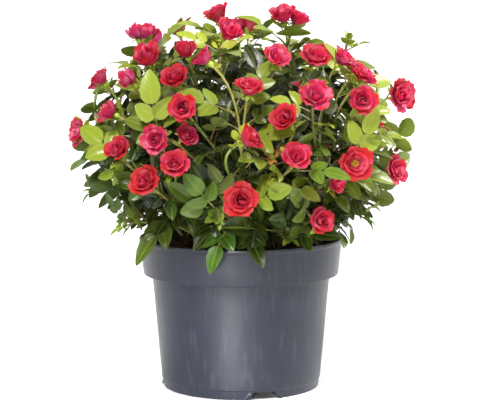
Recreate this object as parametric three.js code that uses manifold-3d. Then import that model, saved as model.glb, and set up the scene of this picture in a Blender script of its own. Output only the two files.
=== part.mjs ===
// A potted miniature rose: a moulded nursery pot, its root ball of potting soil, leafy canes that stand
// in the soil, and red double blooms on the canes' tips. Millimetres, +Z up. The origin is the middle
// of the pot's foot, on the ground. The front is -Y and the right is +X. A bearing is counted in
// degrees from the front to the right.
import * as THREE from "three";
import { mergeVertices } from "three/addons/utils/BufferGeometryUtils.js";
import Module from "manifold-3d";

const wasm = await Module();
wasm.setup();

// Driving dimensions
const potHeight = 140;
const rimRadius = 95;
const bandBottomRadius = 91;
const bandHeight = 34;
const shoulderRadius = 83.1;
const bodyFootRadius = 74.3;
const footRadius = 73.2;
const footHeight = 8;
const wall = 1.6;
const potSides = 32;

const channelBearings = [17, 137, 257];
const channelFootWidth = 31;
const channelRoofWidth = 18.5;
const channelRise = 6.7;
const channelInnerEnd = 24;
const drainHoleRadius = 5;
const drainHoleReach = 50;

const soilHeight = 128;
const soilMound = 5;
const soilGrain = 1.6;
const clearance = 0.3;
const leafClearance = 0.6;
const smallest = 0.2;

const crownMiddle = 232;
const crownRadius = 152;
const crownRise = 118;
const crownDrop = 120;
const topLimit = 358;

const hub = new THREE.Vector3(0, 0, 68);
const caneRings = [
  { count: 4, lean: 13, firstBearing: 20, length: 190 },
  { count: 8, lean: 37, firstBearing: 0, length: 150 },
];
const shootSteps = 3;
const caneRadius = 2.2;
const shootRadius = 1.25;
const caneSunk = 18;

// Leafy shoots without a bloom are spread over these heights, and kept this far from blooms
const leafyTips = 27;
const tipHeights = [152, 336];
const tipClearance = 25;

// Leaves: their length, and how far they may hang out of the crown, and stay from each other and from
// stems
const leafLengths = [50, 66];
const leafletBreadth = 0.29;
const ribHalf = 0.7;
const stalkHalf = 0.75;
const leafOverhang = 13;
const lowestReach = 85;
const lowestLeaf = 114;
const leafGap = 6.5;
const stemGap = 3.6;
const ownStem = 14;
const leafTries = 7;

const budOpen = 0.3;

const seed = 20277;
const rad = Math.PI / 180;

// Each bloom that the front shows: the bearing and the height of its middle, how far it stands out of
// the dome of the crown, how far it faces aside from straight out, how far it faces up, its width, and
// how open it is from 0, a bud, to 1, flat. Angles are in degrees. Blooms in one list grow against each
// other and are one spray.
const frontSprays = [
  [[-89, 331, 13, -20, 80, 22, 0.45], [-86, 331, 2, 145, 80, 22, 0.5]],
  [[-47, 311, 0, 15, 50, 28, 0.55]],
  [[-29, 318, -3, -10, 62, 21, 0.35]],
  [[-36, 347, 3, -25, 55, 27, 0.7]],
  [[-8, 333, -2, 45, 42, 27, 0.65]],
  [[-17, 310, -2, -85, 40, 23, 0.75]],
  [[-75, 290, 0, -5, 50, 22, 0.65]],
  [[-51, 292, 0, -20, 42, 20, 0.15]],
  [[-27, 293, -4, 5, 42, 26, 0.6]],
  [[-20, 269, 2, 15, 14, 27, 0.85]],
  [[-56, 262, -4, -40, 25, 22, 0.5]],
  [[-77, 240, 0, 25, 12, 28, 0.9]],
  [[-45, 230, 0, 15, 42, 26, 0.75]],
  [[-29, 241, 0, 15, 10, 26, 0.9]],
  [[-20, 245, -15, 50, 20, 20, 0.6]],
  [[-22, 221, 0, 20, 34, 26, 0.9]],
  [[-34, 204, 0, 10, 26, 29, 0.85]],
  [[0, 190, 0, -5, 14, 33, 1]],
  [[3, 286, -3, 15, 62, 27, 0.75]],
  [[3, 244, -5, 70, 30, 26, 0.6]],
  [[16, 310, 0, 0, 42, 26, 0.75]],
  [[35, 310, -1, -15, 46, 28, 0.7]],
  [[87, 347, 4, -115, 66, 26, 0.6], [93, 343, 1, -25, 64, 25, 0.7]],
  [[27, 278, 0, -20, 38, 30, 0.9]],
  [[15, 260, -1, -45, 30, 27, 0.7]],
  [[18, 227, 0, -10, 32, 26, 0.8]],
  [[41, 219, 0, -25, 8, 32, 1]],
  [[70, 207, 0, -30, 10, 27, 0.9]],
  [[33, 168, 1, -15, 8, 25, 0.85]],
  [[48, 273, 0, -40, 10, 27, 0.9]],
  [[85, 272, 5, -45, 8, 32, 0.9]],
  [[53, 309, -2, 5, 50, 24, 0.7], [56, 296, -2, 5, 40, 25, 0.8], [62, 291, -2, 20, 35, 21, 0.7]],
  [[38, 200, -11, 10, 8, 20, 0.6]],
];
const backSprays = 13;
const backBearings = [98, 262];
const backHeights = [172, 342];

// A repeatable draw from 0 to 1 for any list of whole numbers
function draw(...keys) {
  let h = seed;
  for (const key of keys) {
    h = Math.imul(h ^ (key + 0x9e3779b9), 0x85ebca6b);
    h ^= h >>> 13;
    h = Math.imul(h, 0xc2b2ae35);
    h ^= h >>> 16;
  }
  return (h >>> 0) / 4294967296;
}

const between = (low, high, share) => low + (high - low) * share;
const vec = (x, y, z) => new THREE.Vector3(x, y, z);

// The way that a bearing and a lift above the level point
function heading(bearing, lift) {
  const level = Math.cos(lift * rad);
  return vec(Math.sin(bearing * rad) * level, -Math.cos(bearing * rad) * level, Math.sin(lift * rad));
}

// How far from the axis the crown reaches at a height
function crownReach(z) {
  const half = z > crownMiddle ? crownRise : crownDrop;
  return crownRadius * Math.sqrt(Math.max(0, 1 - ((z - crownMiddle) / half) ** 2));
}

// A closed surface that is put together from points and triangles
class Shell {
  points = [];
  faces = [];

  add(point) {
    this.points.push(point);
    return this.points.length - 1;
  }

  // Joins two rings of points, each a list of [index, turn] with rising turns, by steps round them
  stitch(a, b) {
    let i = 0;
    let j = 0;
    const turn = (ring, k) => ring[k % ring.length][1] + 360 * Math.floor(k / ring.length);
    const index = (ring, k) => ring[k % ring.length][0];
    while (i < a.length || (b.length > 1 && j < b.length)) {
      const next = b.length === 1 || j >= b.length || (i < a.length && turn(a, i + 1) <= turn(b, j + 1));
      if (next) {
        this.faces.push([index(a, i), index(a, i + 1), index(b, j)]);
        i += 1;
      } else {
        this.faces.push([index(a, i), index(b, j + 1), index(b, j)]);
        j += 1;
      }
    }
  }

  // Closes the first ring with a fan
  cap(ring) {
    for (let i = 1; i + 1 < ring.length; i += 1) this.faces.push([ring[0][0], ring[i + 1][0], ring[i][0]]);
  }

  solid() {
    const vertProperties = new Float32Array(this.points.flatMap((p) => [p.x, p.y, p.z]));
    const made = new wasm.Manifold(
      new wasm.Mesh({ numProp: 3, vertProperties, triVerts: new Uint32Array(this.faces.flat()) }),
    );
    if (made.volume() > 0) return made;
    throw new Error("a shell is inside out");
  }
}

// The solid that a three.js geometry encloses
function solidOf(geometry) {
  const bare = geometry.clone();
  bare.deleteAttribute("normal");
  bare.deleteAttribute("uv");
  const merged = mergeVertices(bare, 1e-4);
  return new wasm.Manifold(
    new wasm.Mesh({
      numProp: 3,
      vertProperties: new Float32Array(merged.attributes.position.array),
      triVerts: new Uint32Array(merged.index.array),
    }),
  );
}

// The three.js geometry of a solid's surface
function geometryOf(solid) {
  const mesh = solid.getMesh();
  const positions = new Float32Array(mesh.numVert * 3);
  for (let i = 0; i < mesh.numVert; i += 1) {
    positions.set(mesh.vertProperties.subarray(i * mesh.numProp, i * mesh.numProp + 3), i * 3);
  }
  const geometry = new THREE.BufferGeometry();
  geometry.setAttribute("position", new THREE.BufferAttribute(positions, 3));
  geometry.setIndex(new THREE.BufferAttribute(mesh.triVerts, 1));
  geometry.computeVertexNormals();
  return geometry;
}

// A ring of points round a centre, in the plane of the two axes
function ringAt(shell, centre, across, over, radius, count) {
  return Array.from({ length: count }, (_, k) => {
    const turn = (360 * k) / count;
    const point = centre
      .clone()
      .addScaledVector(across, radius * Math.cos(turn * rad))
      .addScaledVector(over, radius * Math.sin(turn * rad));
    return [shell.add(point), turn];
  });
}

// Two axes square to a direction, so that across, over and the direction are right-handed
function crossAxes(direction) {
  const guide = Math.abs(direction.z) < 0.9 ? vec(0, 0, 1) : vec(0, 1, 0);
  const across = guide.clone().cross(direction).normalize();
  return [across, direction.clone().cross(across).normalize()];
}

// The pot: a bar with sloping sides, which is the room of a channel or, grown by the wall, its roof
function channelPrism(bearing, spread, rise, from, to) {
  const outline = new THREE.Shape();
  outline.moveTo(-channelFootWidth / 2 - spread, -1);
  outline.lineTo(channelFootWidth / 2 + spread, -1);
  outline.lineTo(channelFootWidth / 2 + spread, 0);
  outline.lineTo(channelRoofWidth / 2 + spread, rise);
  outline.lineTo(-channelRoofWidth / 2 - spread, rise);
  outline.lineTo(-channelFootWidth / 2 - spread, 0);
  const prism = new THREE.ExtrudeGeometry(outline, { depth: to - from, bevelEnabled: false });
  prism.translate(0, 0, from);
  prism.rotateX(Math.PI / 2);
  prism.rotateZ(bearing * rad);
  return solidOf(prism);
}

// The pot's wall is turned, and three channels run in under it to drain holes
function potWall() {
  const shoulder = potHeight - bandHeight;
  const profile = [
    [0, 0],
    [footRadius - 0.6, 0],
    [footRadius + 0.5, footHeight],
    [bodyFootRadius, footHeight + 0.5],
    [shoulderRadius, shoulder],
    [bandBottomRadius, shoulder],
    [rimRadius, potHeight],
    [rimRadius - wall, potHeight],
    [bandBottomRadius - wall, shoulder + wall],
    [shoulderRadius - wall, shoulder + wall],
    [footRadius - wall, wall + 0.4],
    [0, wall + 0.4],
  ].map(([r, z]) => new THREE.Vector2(r, z));
  const turned = new THREE.LatheGeometry(profile, potSides);
  turned.rotateX(Math.PI / 2);
  let pot = solidOf(turned);
  for (const bearing of channelBearings) {
    const far = footRadius - wall / 2;
    const roof = channelPrism(bearing, wall, channelRise + wall, channelInnerEnd - wall, far);
    pot = pot.add(roof.trimByPlane([0, 0, 1], 0));
  }
  for (const bearing of channelBearings) {
    pot = pot.subtract(channelPrism(bearing, 0, channelRise, channelInnerEnd, rimRadius));
    const drain = new THREE.CylinderGeometry(drainHoleRadius, drainHoleRadius, footHeight, 8);
    drain.rotateX(Math.PI / 2);
    const place = heading(bearing, 0).multiplyScalar(drainHoleReach);
    drain.translate(place.x, place.y, channelRise + wall / 2);
    pot = pot.subtract(solidOf(drain));
  }
  return pot;
}

// The soil's top: a low mound with two crossed waves on it
function soilTop(x, y) {
  const out = Math.hypot(x, y) / rimRadius;
  const grain = Math.sin(x * 0.33 + 1.2) * Math.cos(y * 0.29 + 0.4) + 0.5 * Math.sin(x * 0.71 - y * 0.53);
  return soilHeight + soilMound * (1 - out * out) + soilGrain * grain * 0.6;
}

// The soil fills the pot, with room for the channels' roofs and for the canes' feet
function soilBall(canes) {
  const shoulder = potHeight - bandHeight;
  const inner = (r) => r - wall - clearance;
  const slope = (rimRadius - bandBottomRadius) / (bandHeight - wall);
  const edge = inner(bandBottomRadius) + slope * (soilHeight - 1 - shoulder - wall);
  const ball = new Shell();
  const level = (r, z, count) => ringAt(ball, vec(0, 0, z), vec(1, 0, 0), vec(0, 1, 0), r, count);
  const draped = (r, count) => {
    const ring = level(r, 0, count);
    for (const [i] of ring) ball.points[i].z = soilTop(ball.points[i].x, ball.points[i].y);
    return ring;
  };
  const foot = level(inner(footRadius) - 0.5, wall + 0.4 + clearance, potSides);
  const neck = level(inner(shoulderRadius) - 0.1, shoulder + wall + clearance, potSides);
  const ledge = level(inner(bandBottomRadius), shoulder + wall + clearance, potSides);
  const lip = level(edge, soilHeight - 1, potSides);
  const outer = draped(edge * 0.85, 14);
  const middle = draped(edge * 0.55, 10);
  const heart = draped(edge * 0.24, 5);
  ball.cap(foot);
  const rings = [foot, neck, ledge, lip, outer, middle, heart];
  rings.slice(1).forEach((ring, k) => ball.stitch(rings[k], ring));
  ball.stitch(heart, [[ball.add(vec(0, 0, soilTop(0, 0))), 0]]);
  let soil = ball.solid();
  for (const bearing of channelBearings) {
    const grown = wall + clearance;
    const room = channelPrism(bearing, grown, channelRise + grown, channelInnerEnd - grown, rimRadius);
    soil = soil.subtract(room);
  }
  for (const cane of canes) {
    const hole = new Shell();
    const [across, over] = crossAxes(cane.direction);
    const low = cane.foot.clone().addScaledVector(cane.direction, -2);
    const high = cane.foot.clone().addScaledVector(cane.direction, caneSunk * 2.4);
    const ends = [low, high].map((end) => ringAt(hole, end, across, over, caneRadius + 0.5, 5));
    hole.cap(ends[0]);
    hole.stitch(ends[0], ends[1]);
    hole.cap([...ends[1]].reverse());
    soil = soil.subtract(hole.solid());
  }
  return soil;
}

// The canes: each leans its own way, and they all point away from the hub under the soil
function layCanes() {
  return caneRings.flatMap(({ count, lean, firstBearing, length }) =>
    Array.from({ length: count }, (_, k) => {
      const direction = heading(firstBearing + (360 * k) / count, 90 - lean);
      const along = (z) => hub.clone().addScaledVector(direction, (z - hub.z) / direction.z);
      const foot = along(soilHeight - caneSunk);
      const head = hub.clone().addScaledVector(direction, length);
      return { direction, foot, head, curve: new THREE.LineCurve3(foot, head), shoots: [], leaves: [] };
    }),
  );
}

// The blooms at the back, which follow a rule: spread evenly in bearing and height over the crown
function layBackSprays() {
  return Array.from({ length: backSprays }, (_, k) => {
    const bearing = between(...backBearings, (k * 0.618 + 0.05) % 1);
    const height = between(...backHeights, (k + 0.5 + 0.5 * (draw(k, 1) - 0.5)) / backSprays);
    const width = between(24, 30, draw(k, 2));
    const open = between(0.55, 1, draw(k, 3));
    const aside = 30 * (draw(k, 4) - 0.5);
    const lift = between(12, 62, ((height - backHeights[0]) / (backHeights[1] - backHeights[0])) ** 1.5);
    const spray = [[bearing, height, -3, aside, lift, width, open]];
    if (k % 3 === 0) {
      const turn = (width * 0.52) / crownReach(height) / rad;
      const step = 9 * (draw(k, 5) - 0.5);
      spray.push([bearing + turn, height + step, -5, aside + 20, lift + 6, width * 0.86, open * 0.9]);
    }
    return spray;
  });
}

// One bloom's own axes: it opens along its axis from the hip under it
function bloomOf([bearing, height, out, aside, lift, width, open]) {
  const middle = heading(bearing, 0)
    .multiplyScalar(crownReach(height) + out)
    .setZ(height);
  const axis = heading(bearing + aside, lift);
  const depth = between(width * 0.95, width * 0.36, open);
  const base = middle.clone().addScaledVector(axis, -depth * 0.5);
  return { middle, axis, width, open, depth, base };
}

// A bloom's petals in two lobed layers round a furled heart. Each layer is a cup that is cut down
// between its petals.
function bloomShell(bloom, key) {
  const shell = new Shell();
  const { axis, base, width, open, depth } = bloom;
  const [across, over] = crossAxes(axis);
  const half = width / 2;
  const spin = 72 * draw(key, 11);
  const ring = (steps) =>
    steps.map(([turn, r, h]) => {
      const point = base
        .clone()
        .addScaledVector(across, r * Math.cos((turn + spin) * rad))
        .addScaledVector(over, r * Math.sin((turn + spin) * rad))
        .addScaledVector(axis, h);
      return [shell.add(point), turn];
    });
  const petals = [0, 1, 2, 3, 4];
  const size = petals.map((p) => between(0.88, 1.06, draw(key, 12, p)));
  const rise = petals.map((p) => between(0.72, 1, draw(key, 13, p)));
  const foot = ring(petals.map((p) => [72 * p + 36, 2.1, 0]));
  const outer = ring(
    petals.flatMap((p) => [
      [72 * p + 4, half * 0.6, depth * 0.62],
      [72 * p + 20, half * size[p], depth * rise[p]],
      [72 * p + 56, half * size[p] * 0.97, depth * rise[p]],
    ]),
  );
  const heartWall = ring(petals.map((p) => [72 * p + 60, half * 0.2, depth * 0.62]));
  const top = [[shell.add(base.clone().addScaledVector(axis, depth * between(0.98, 0.78, open))), 0]];
  shell.cap(foot);
  const rings = [foot, outer, heartWall, top];
  if (open > budOpen) {
    const innerWall = ring(petals.map((p) => [72 * p + 36, half * 0.36, depth * 0.42 + 1]));
    const innerSize = petals.map((p) => between(0.5, 0.62, draw(key, 14, p)));
    const innerRise = petals.map((p) => between(0.86, 1.04, draw(key, 15, p)));
    const inner = ring(
      petals.flatMap((p) => [
        [72 * p + 36, half * 0.36, depth * 0.8 + 0.6],
        [72 * p + 72, half * innerSize[p], depth * innerRise[p]],
      ]),
    );
    rings.splice(2, 0, innerWall, inner);
  }
  rings.slice(1).forEach((next, k) => shell.stitch(rings[k], next));
  return shell.solid();
}

// A shoot's rings along its curve. Under a bloom it swells into the hip and ends in five pointed
// sepals.
function shootShell({ curve, knots, bloom }, radius, tipRadius) {
  const shell = new Shell();
  let guide = crossAxes(curve.getTangentAt(0))[0];
  const rings = [];
  knots.forEach((knot, k) => {
    const share = k / shootSteps;
    const along = curve.getTangentAt(share);
    guide = guide.clone().addScaledVector(along, -guide.dot(along)).normalize();
    const over = along.clone().cross(guide);
    rings.push(ringAt(shell, knot, guide, over, between(radius, tipRadius, share), 3));
  });
  let end = knots.at(-1);
  let axis = curve.getTangentAt(1);
  if (bloom) {
    axis = bloom.axis;
    const over = axis.clone().cross(guide).normalize();
    const across = over.clone().cross(axis);
    const hip = bloom.base.clone().addScaledVector(axis, -3);
    rings.push(ringAt(shell, hip, across, over, 2.9, 5));
    const star = [];
    for (let k = 0; k < 10; k += 1) {
      const tip = k % 2 === 0;
      const turn = 36 * k;
      const point = bloom.base
        .clone()
        .addScaledVector(axis, tip ? -1.6 : -0.9)
        .addScaledVector(across, (tip ? 7.5 : 2.3) * Math.cos(turn * rad))
        .addScaledVector(over, (tip ? 7.5 : 2.3) * Math.sin(turn * rad));
      star.push([shell.add(point), turn]);
    }
    rings.push(star);
    end = bloom.base.clone().addScaledVector(axis, -clearance - 0.05);
  } else {
    end = end.clone().addScaledVector(axis, 3);
  }
  shell.cap(rings[0]);
  rings.slice(1).forEach((ring, k) => shell.stitch(rings[k], ring));
  shell.stitch(rings.at(-1), [[shell.add(end), 0]]);
  return shell.solid();
}

// Where a leaf lies: its rib starts at root and runs along, its face looks up, and both droop as they
// go out
function leafPlace(leaf, a, b, lift = 0) {
  const sag = (leaf.droop * a * a) / leaf.length + (leaf.cup * b * b) / leaf.length;
  return leaf.root
    .clone()
    .addScaledVector(leaf.along, a)
    .addScaledVector(leaf.side, b)
    .addScaledVector(leaf.up, lift - sag);
}

// The leaflets of a leaf: where each pair starts on the rib, how far it turns from the rib, and its
// length. The last one stands alone on the rib's end.
function leaflets(leaf) {
  const pairs = leaf.pairs === 1 ? [[0.42, 0.36]] : [[0.28, 0.28], [0.53, 0.32]];
  const list = pairs.map(([at, size]) => ({ at: leaf.length * at, length: leaf.length * size, turn: 58 }));
  const end = leaf.pairs === 1 ? 0.58 : 0.66;
  return [...list, { at: leaf.length * end, length: leaf.length * (1 - end), turn: 0 }];
}

// A point of a leaflet in the leaf's own plane: out is along the leaflet and off is to the side of the
// leaf's foot
function leafletPoint({ at, turn }, out, off) {
  const c = Math.cos(turn * rad);
  const s = Math.sin(turn * rad);
  return [at + out * c - off * s, out * s + off * c];
}

// A leaf as one thin blade whose outline is cut to the rib between its leaflets. The outline is walked
// from the leaf's foot up one side and down the other, and each step of it is joined to a point of the
// rib.
function leafShell(leaf) {
  const shell = new Shell();
  const put = (a, b, lift = 0) => shell.add(leafPlace(leaf, a, b, lift));
  const list = leaflets(leaf);
  const last = list.at(-1);
  const stations = [0, ...list.map((leaflet) => leaflet.at)];
  const rib = stations.map((a) => [put(a, 0, ribHalf), put(a, 0, -ribHalf)]);
  const side = [[0, stalkHalf]];
  const sideRib = [];
  list.slice(0, -1).forEach((leaflet, k) => {
    const { at, length } = leaflet;
    const wide = length * leafletBreadth;
    side.push([at - 1.4, stalkHalf]);
    side.push(leafletPoint(leaflet, length * 0.45, wide));
    side.push(leafletPoint(leaflet, length, 0));
    side.push(leafletPoint(leaflet, length * 0.45, -wide));
    side.push([at + 1.4, stalkHalf]);
    sideRib.push(k, k + 1, k + 1, k + 1, k + 1);
  });
  side.push([last.at, stalkHalf]);
  sideRib.push(list.length - 1);
  const wide = last.length * leafletBreadth;
  const blade = [[0.34, wide], [0.7, wide * 0.8], [1, 0], [0.7, -wide * 0.8], [0.34, -wide]];
  const crown = blade.map(([out, off]) => leafletPoint(last, last.length * out, off));
  const otherSide = side.map(([a, b]) => [a, -b]).reverse();
  const outline = [...side, ...crown, ...otherSide].map(([a, b]) => put(a, b));
  const ribs = [...sideRib, ...Array(crown.length + 1).fill(list.length), ...[...sideRib].reverse()];
  ribs.forEach((index, k) => {
    const [top, under] = rib[index];
    const [from, to] = [outline[k], outline[k + 1]];
    if (k > 0 && ribs[k - 1] !== index) {
      const [oldTop, oldUnder] = rib[ribs[k - 1]];
      shell.faces.push([oldTop, top, from], [oldUnder, from, under]);
    }
    shell.faces.push([top, to, from], [under, from, to]);
  });
  const [top, under] = rib[0];
  shell.faces.push([top, outline[0], under], [outline.at(-1), top, under]);
  return shell.solid();
}

// Points spread over a leaf, by which it is kept clear of what is there already
function leafMarks(leaf) {
  const marks = [0.3, 0.45].map((share) => leafPlace(leaf, leaf.length * share, 0));
  for (const leaflet of leaflets(leaf)) {
    const wide = leaflet.length * leafletBreadth;
    const onRib = [[0.25, 0], [0.5, 0], [0.75, 0], [1, 0]];
    const spots = [...onRib, [0.45, 0.9], [0.45, -0.9], [0.75, 0.5], [0.75, -0.5]];
    for (const [out, off] of spots) {
      const [a, b] = leafletPoint(leaflet, leaflet.length * out, wide * off);
      marks.push(leafPlace(leaf, a, b));
      if (leaflet.turn > 0) marks.push(leafPlace(leaf, a, -b));
    }
  }
  return marks;
}

// What a leaf has to keep clear of: other leaves' points, stems' points, blooms, the soil and the pot
function blocked(marks, leaf, taken, stems, blooms) {
  for (const p of marks) {
    const out = Math.hypot(p.x, p.y);
    if (p.z < lowestLeaf || p.z > topLimit) return true;
    if (out > crownReach(Math.max(p.z, crownMiddle - lowestReach)) + leafOverhang) return true;
    if (p.z < potHeight + 3 && out > rimRadius - wall - 6 && out < rimRadius + 3) return true;
    if (out < rimRadius && p.z < soilTop(p.x, p.y) + 4) return true;
    for (const q of taken) if (p.distanceToSquared(q) < leafGap * leafGap) return true;
    for (const { point, shoot } of stems) {
      if (shoot === leaf.shoot && point.distanceTo(leaf.root) < ownStem) continue;
      if (p.distanceToSquared(point) < stemGap * stemGap) return true;
    }
    for (const bloom of blooms) {
      const away = p.clone().sub(bloom.middle);
      const rise = away.dot(bloom.axis);
      const spread = Math.sqrt(Math.max(0, away.lengthSq() - rise * rise));
      const [wide, deep] = [bloom.width / 2 + 2.5, bloom.depth / 2 + 5];
      if ((spread / wide) ** 2 + (rise / deep) ** 2 < 1) return true;
    }
  }
  return false;
}

// One leaf at a place on a shoot. Its stalk leaves the shoot sideways and its face looks up and out of
// the crown.
function leafAt(shoot, share, keys, turn) {
  const root = onShoot(shoot, share);
  const stem = shoot.curve.getTangentAt(share);
  const [across, over] = crossAxes(stem);
  const away = across
    .clone()
    .multiplyScalar(Math.cos(turn * rad))
    .addScaledVector(over, Math.sin(turn * rad));
  const outward = root.clone().sub(vec(0, 0, crownMiddle - 60)).normalize();
  const along = stem
    .clone()
    .multiplyScalar(0.5)
    .addScaledVector(away, 0.85)
    .addScaledVector(outward, 0.35)
    .normalize();
  const look = outward.clone().multiplyScalar(0.9).add(vec(0, 0, 0.55));
  const sway = vec(...[21, 22, 23].map((k) => draw(...keys, k) - 0.5));
  look.addScaledVector(sway, 0.7);
  const up = look.addScaledVector(along, -look.dot(along)).normalize();
  return {
    shoot,
    root,
    along,
    up,
    side: up.clone().cross(along).normalize(),
    length: between(...leafLengths, draw(...keys, 24)),
    pairs: draw(...keys, 25) < 0.14 ? 2 : 1,
    droop: between(0.12, 0.42, draw(...keys, 26)),
    cup: between(0.05, 0.3, draw(...keys, 27)),
  };
}

// The plant
const canes = layCanes();
const bloomSprays = [...frontSprays, ...layBackSprays()].map((spray) => spray.map(bloomOf));
const blooms = bloomSprays.flat();

// The cane that points most nearly from the hub to a point
function nearestCane(point) {
  const way = point.clone().sub(hub).normalize();
  const fits = canes.map((cane) => cane.direction.dot(way));
  return canes[fits.indexOf(Math.max(...fits))];
}

// A shoot leaves its cane and ends at a place, pointing the way that its bloom or its tip does
function growShoot(cane, end, axis, bloom) {
  const want = soilHeight + 0.45 * (end.z - soilHeight);
  const share = (want - cane.foot.z) / (cane.head.z - cane.foot.z);
  const start = cane.curve.getPoint(Math.min(0.97, Math.max(0.28, share)));
  const length = start.distanceTo(end);
  const curve = new THREE.CubicBezierCurve3(
    start,
    start.clone().addScaledVector(cane.direction, length * 0.3),
    end.clone().addScaledVector(axis, -length * 0.33),
    end,
  );
  cane.shoots.push({ curve, bloom, length, knots: curve.getSpacedPoints(shootSteps) });
}

// A point of a shoot, which is straight from knot to knot
function onShoot({ knots }, share) {
  const place = Math.min(share * shootSteps, shootSteps - 1e-6);
  const k = Math.floor(place);
  return knots[k].clone().lerp(knots[k + 1], place - k);
}

for (const bloom of blooms) {
  growShoot(nearestCane(bloom.base), bloom.base.clone().addScaledVector(bloom.axis, -6), bloom.axis, bloom);
}

// Leafy shoots without a bloom fill the crown between the blooms
for (let k = 0; k < leafyTips; k += 1) {
  const z = between(...tipHeights, ((k + 0.5) / leafyTips) ** 1.35);
  const bearing = (k * 137.508 + 24) % 360;
  const tip = heading(bearing, 0)
    .multiplyScalar(crownReach(z) * between(0.82, 0.95, draw(k, 31)))
    .setZ(z);
  if (blooms.some((bloom) => bloom.middle.distanceTo(tip) < tipClearance)) continue;
  const lift = between(-5, 70, (z - tipHeights[0]) / (tipHeights[1] - tipHeights[0]));
  growShoot(nearestCane(tip), tip, heading(bearing, lift), null);
}

// Stems' points, by which leaves are kept clear of them
const stems = [];
for (const cane of canes) {
  const steps = Math.ceil(cane.foot.distanceTo(cane.head) / 4);
  for (let k = 0; k <= steps; k += 1) stems.push({ point: cane.curve.getPoint(k / steps), shoot: null });
  for (const shoot of cane.shoots) {
    const count = Math.ceil(shoot.length / 4);
    for (let k = 0; k <= count; k += 1) stems.push({ point: onShoot(shoot, k / count), shoot });
  }
}

// The leaves, tried one place after another. One that finds no free place is left out.
const taken = [];
canes.forEach((cane, c) => {
  cane.shoots.forEach((shoot, s) => {
    const sites = shoot.bloom ? [0.84, 0.62].slice(0, shoot.length < 78 ? 1 : 2) : [0.94, 0.72, 0.48];
    sites.forEach((share, n) => {
      for (let attempt = 0; attempt < leafTries; attempt += 1) {
        const turn = 360 * draw(c, s, 41) + 137.5 * n + 73 * attempt;
        const leaf = leafAt(shoot, share, [c, s, n, attempt], turn);
        const marks = leafMarks(leaf);
        if (blocked(marks, leaf, taken, stems, blooms)) continue;
        taken.push(...marks);
        cane.leaves.push(leaf);
        break;
      }
    });
  });
});

// A cane and its shoots, without leaves
function caneSolid(cane) {
  const shell = new Shell();
  const [across, over] = crossAxes(cane.direction);
  const low = ringAt(shell, cane.foot, across, over, caneRadius, 5);
  const high = ringAt(shell, cane.head, across, over, caneRadius * 0.62, 5);
  shell.cap(low);
  shell.stitch(low, high);
  shell.stitch(high, [[shell.add(cane.head.clone().addScaledVector(cane.direction, 2)), 0]]);
  const tipRadius = (shoot) => (shoot.bloom ? shootRadius * 0.85 : 0.7);
  return cane.shoots.reduce(
    (wood, shoot) => wood.add(shootShell(shoot, shootRadius * 1.15, tipRadius(shoot))),
    shell.solid(),
  );
}

// Each leaf is joined to its own cane, but only if it stays clear of all other canes and blooms
const bloomSolids = bloomSprays.map((spray, k) =>
  spray.map((bloom, n) => bloomShell(bloom, k * 4 + n)).reduce((sum, next) => sum.add(next)),
);
const woods = canes.map(caneSolid);
canes.forEach((cane, c) => {
  for (const leaf of cane.leaves) {
    const blade = leafShell(leaf);
    const others = [...woods.filter((_, k) => k !== c), ...bloomSolids];
    const free = others.every((other) => blade.minGap(other, leafClearance) >= leafClearance);
    if (free) woods[c] = woods[c].add(blade);
  }
});

// Materials
const potPlastic = new THREE.MeshStandardMaterial({ color: 0x53565f, roughness: 0.55, metalness: 0 });
const peat = new THREE.MeshStandardMaterial({ color: 0x2c1d14, roughness: 0.95, metalness: 0 });
const foliage = new THREE.MeshStandardMaterial({ color: 0x4a6a26, roughness: 0.45, metalness: 0 });
const petals = new THREE.MeshStandardMaterial({ color: 0xc8323f, roughness: 0.6, metalness: 0 });

const rose = new THREE.Group();

function addNode(name, solid, material) {
  const mesh = new THREE.Mesh(geometryOf(solid), material);
  mesh.name = name;
  rose.add(mesh);
}

addNode("pot", potWall(), potPlastic);
addNode("soil", soilBall(canes), peat);
const numbered = (name, k) => `${name}_${String(k + 1).padStart(2, "0")}`;
const trimmed = (solid) => solid.asOriginal().simplify(smallest);
woods.forEach((wood, k) => addNode(numbered("leafy_stem", k), trimmed(wood), foliage));
bloomSolids.forEach((bloom, k) => addNode(numbered("bloom", k), trimmed(bloom), petals));

export default rose;
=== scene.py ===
# %% [markdown]
# # A potted miniature rose
# A low, bushy rose stands in a blue-grey nursery pot. Its canes carry glossy leaves of three or five
# leaflets and dozens of small double blooms, from tight buds to flat open flowers. The CAD frame holds the
# pot, the soil, twelve leafy stems and the blooms, each as a faceted solid. Here each of them is replaced
# by a finer surface that is worked out with numpy in the same place. Lengths are in millimetres until a
# mesh is made.

import math

import bpy
import numpy as np
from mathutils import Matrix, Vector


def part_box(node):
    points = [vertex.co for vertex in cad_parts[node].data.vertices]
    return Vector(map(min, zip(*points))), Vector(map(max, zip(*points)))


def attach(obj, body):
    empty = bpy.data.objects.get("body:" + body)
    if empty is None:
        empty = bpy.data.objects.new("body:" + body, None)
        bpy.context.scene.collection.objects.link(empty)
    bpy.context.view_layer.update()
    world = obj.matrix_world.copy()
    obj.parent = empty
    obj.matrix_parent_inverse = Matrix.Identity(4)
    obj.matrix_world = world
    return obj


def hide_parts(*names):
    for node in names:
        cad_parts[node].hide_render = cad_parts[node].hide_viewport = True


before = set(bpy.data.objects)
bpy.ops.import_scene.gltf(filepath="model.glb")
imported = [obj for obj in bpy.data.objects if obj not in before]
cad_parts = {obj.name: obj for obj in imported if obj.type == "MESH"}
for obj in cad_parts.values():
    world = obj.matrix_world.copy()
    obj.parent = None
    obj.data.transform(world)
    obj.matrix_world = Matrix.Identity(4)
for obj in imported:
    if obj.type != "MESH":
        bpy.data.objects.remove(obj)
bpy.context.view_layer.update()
print("CAD nodes:", len(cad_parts))

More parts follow.
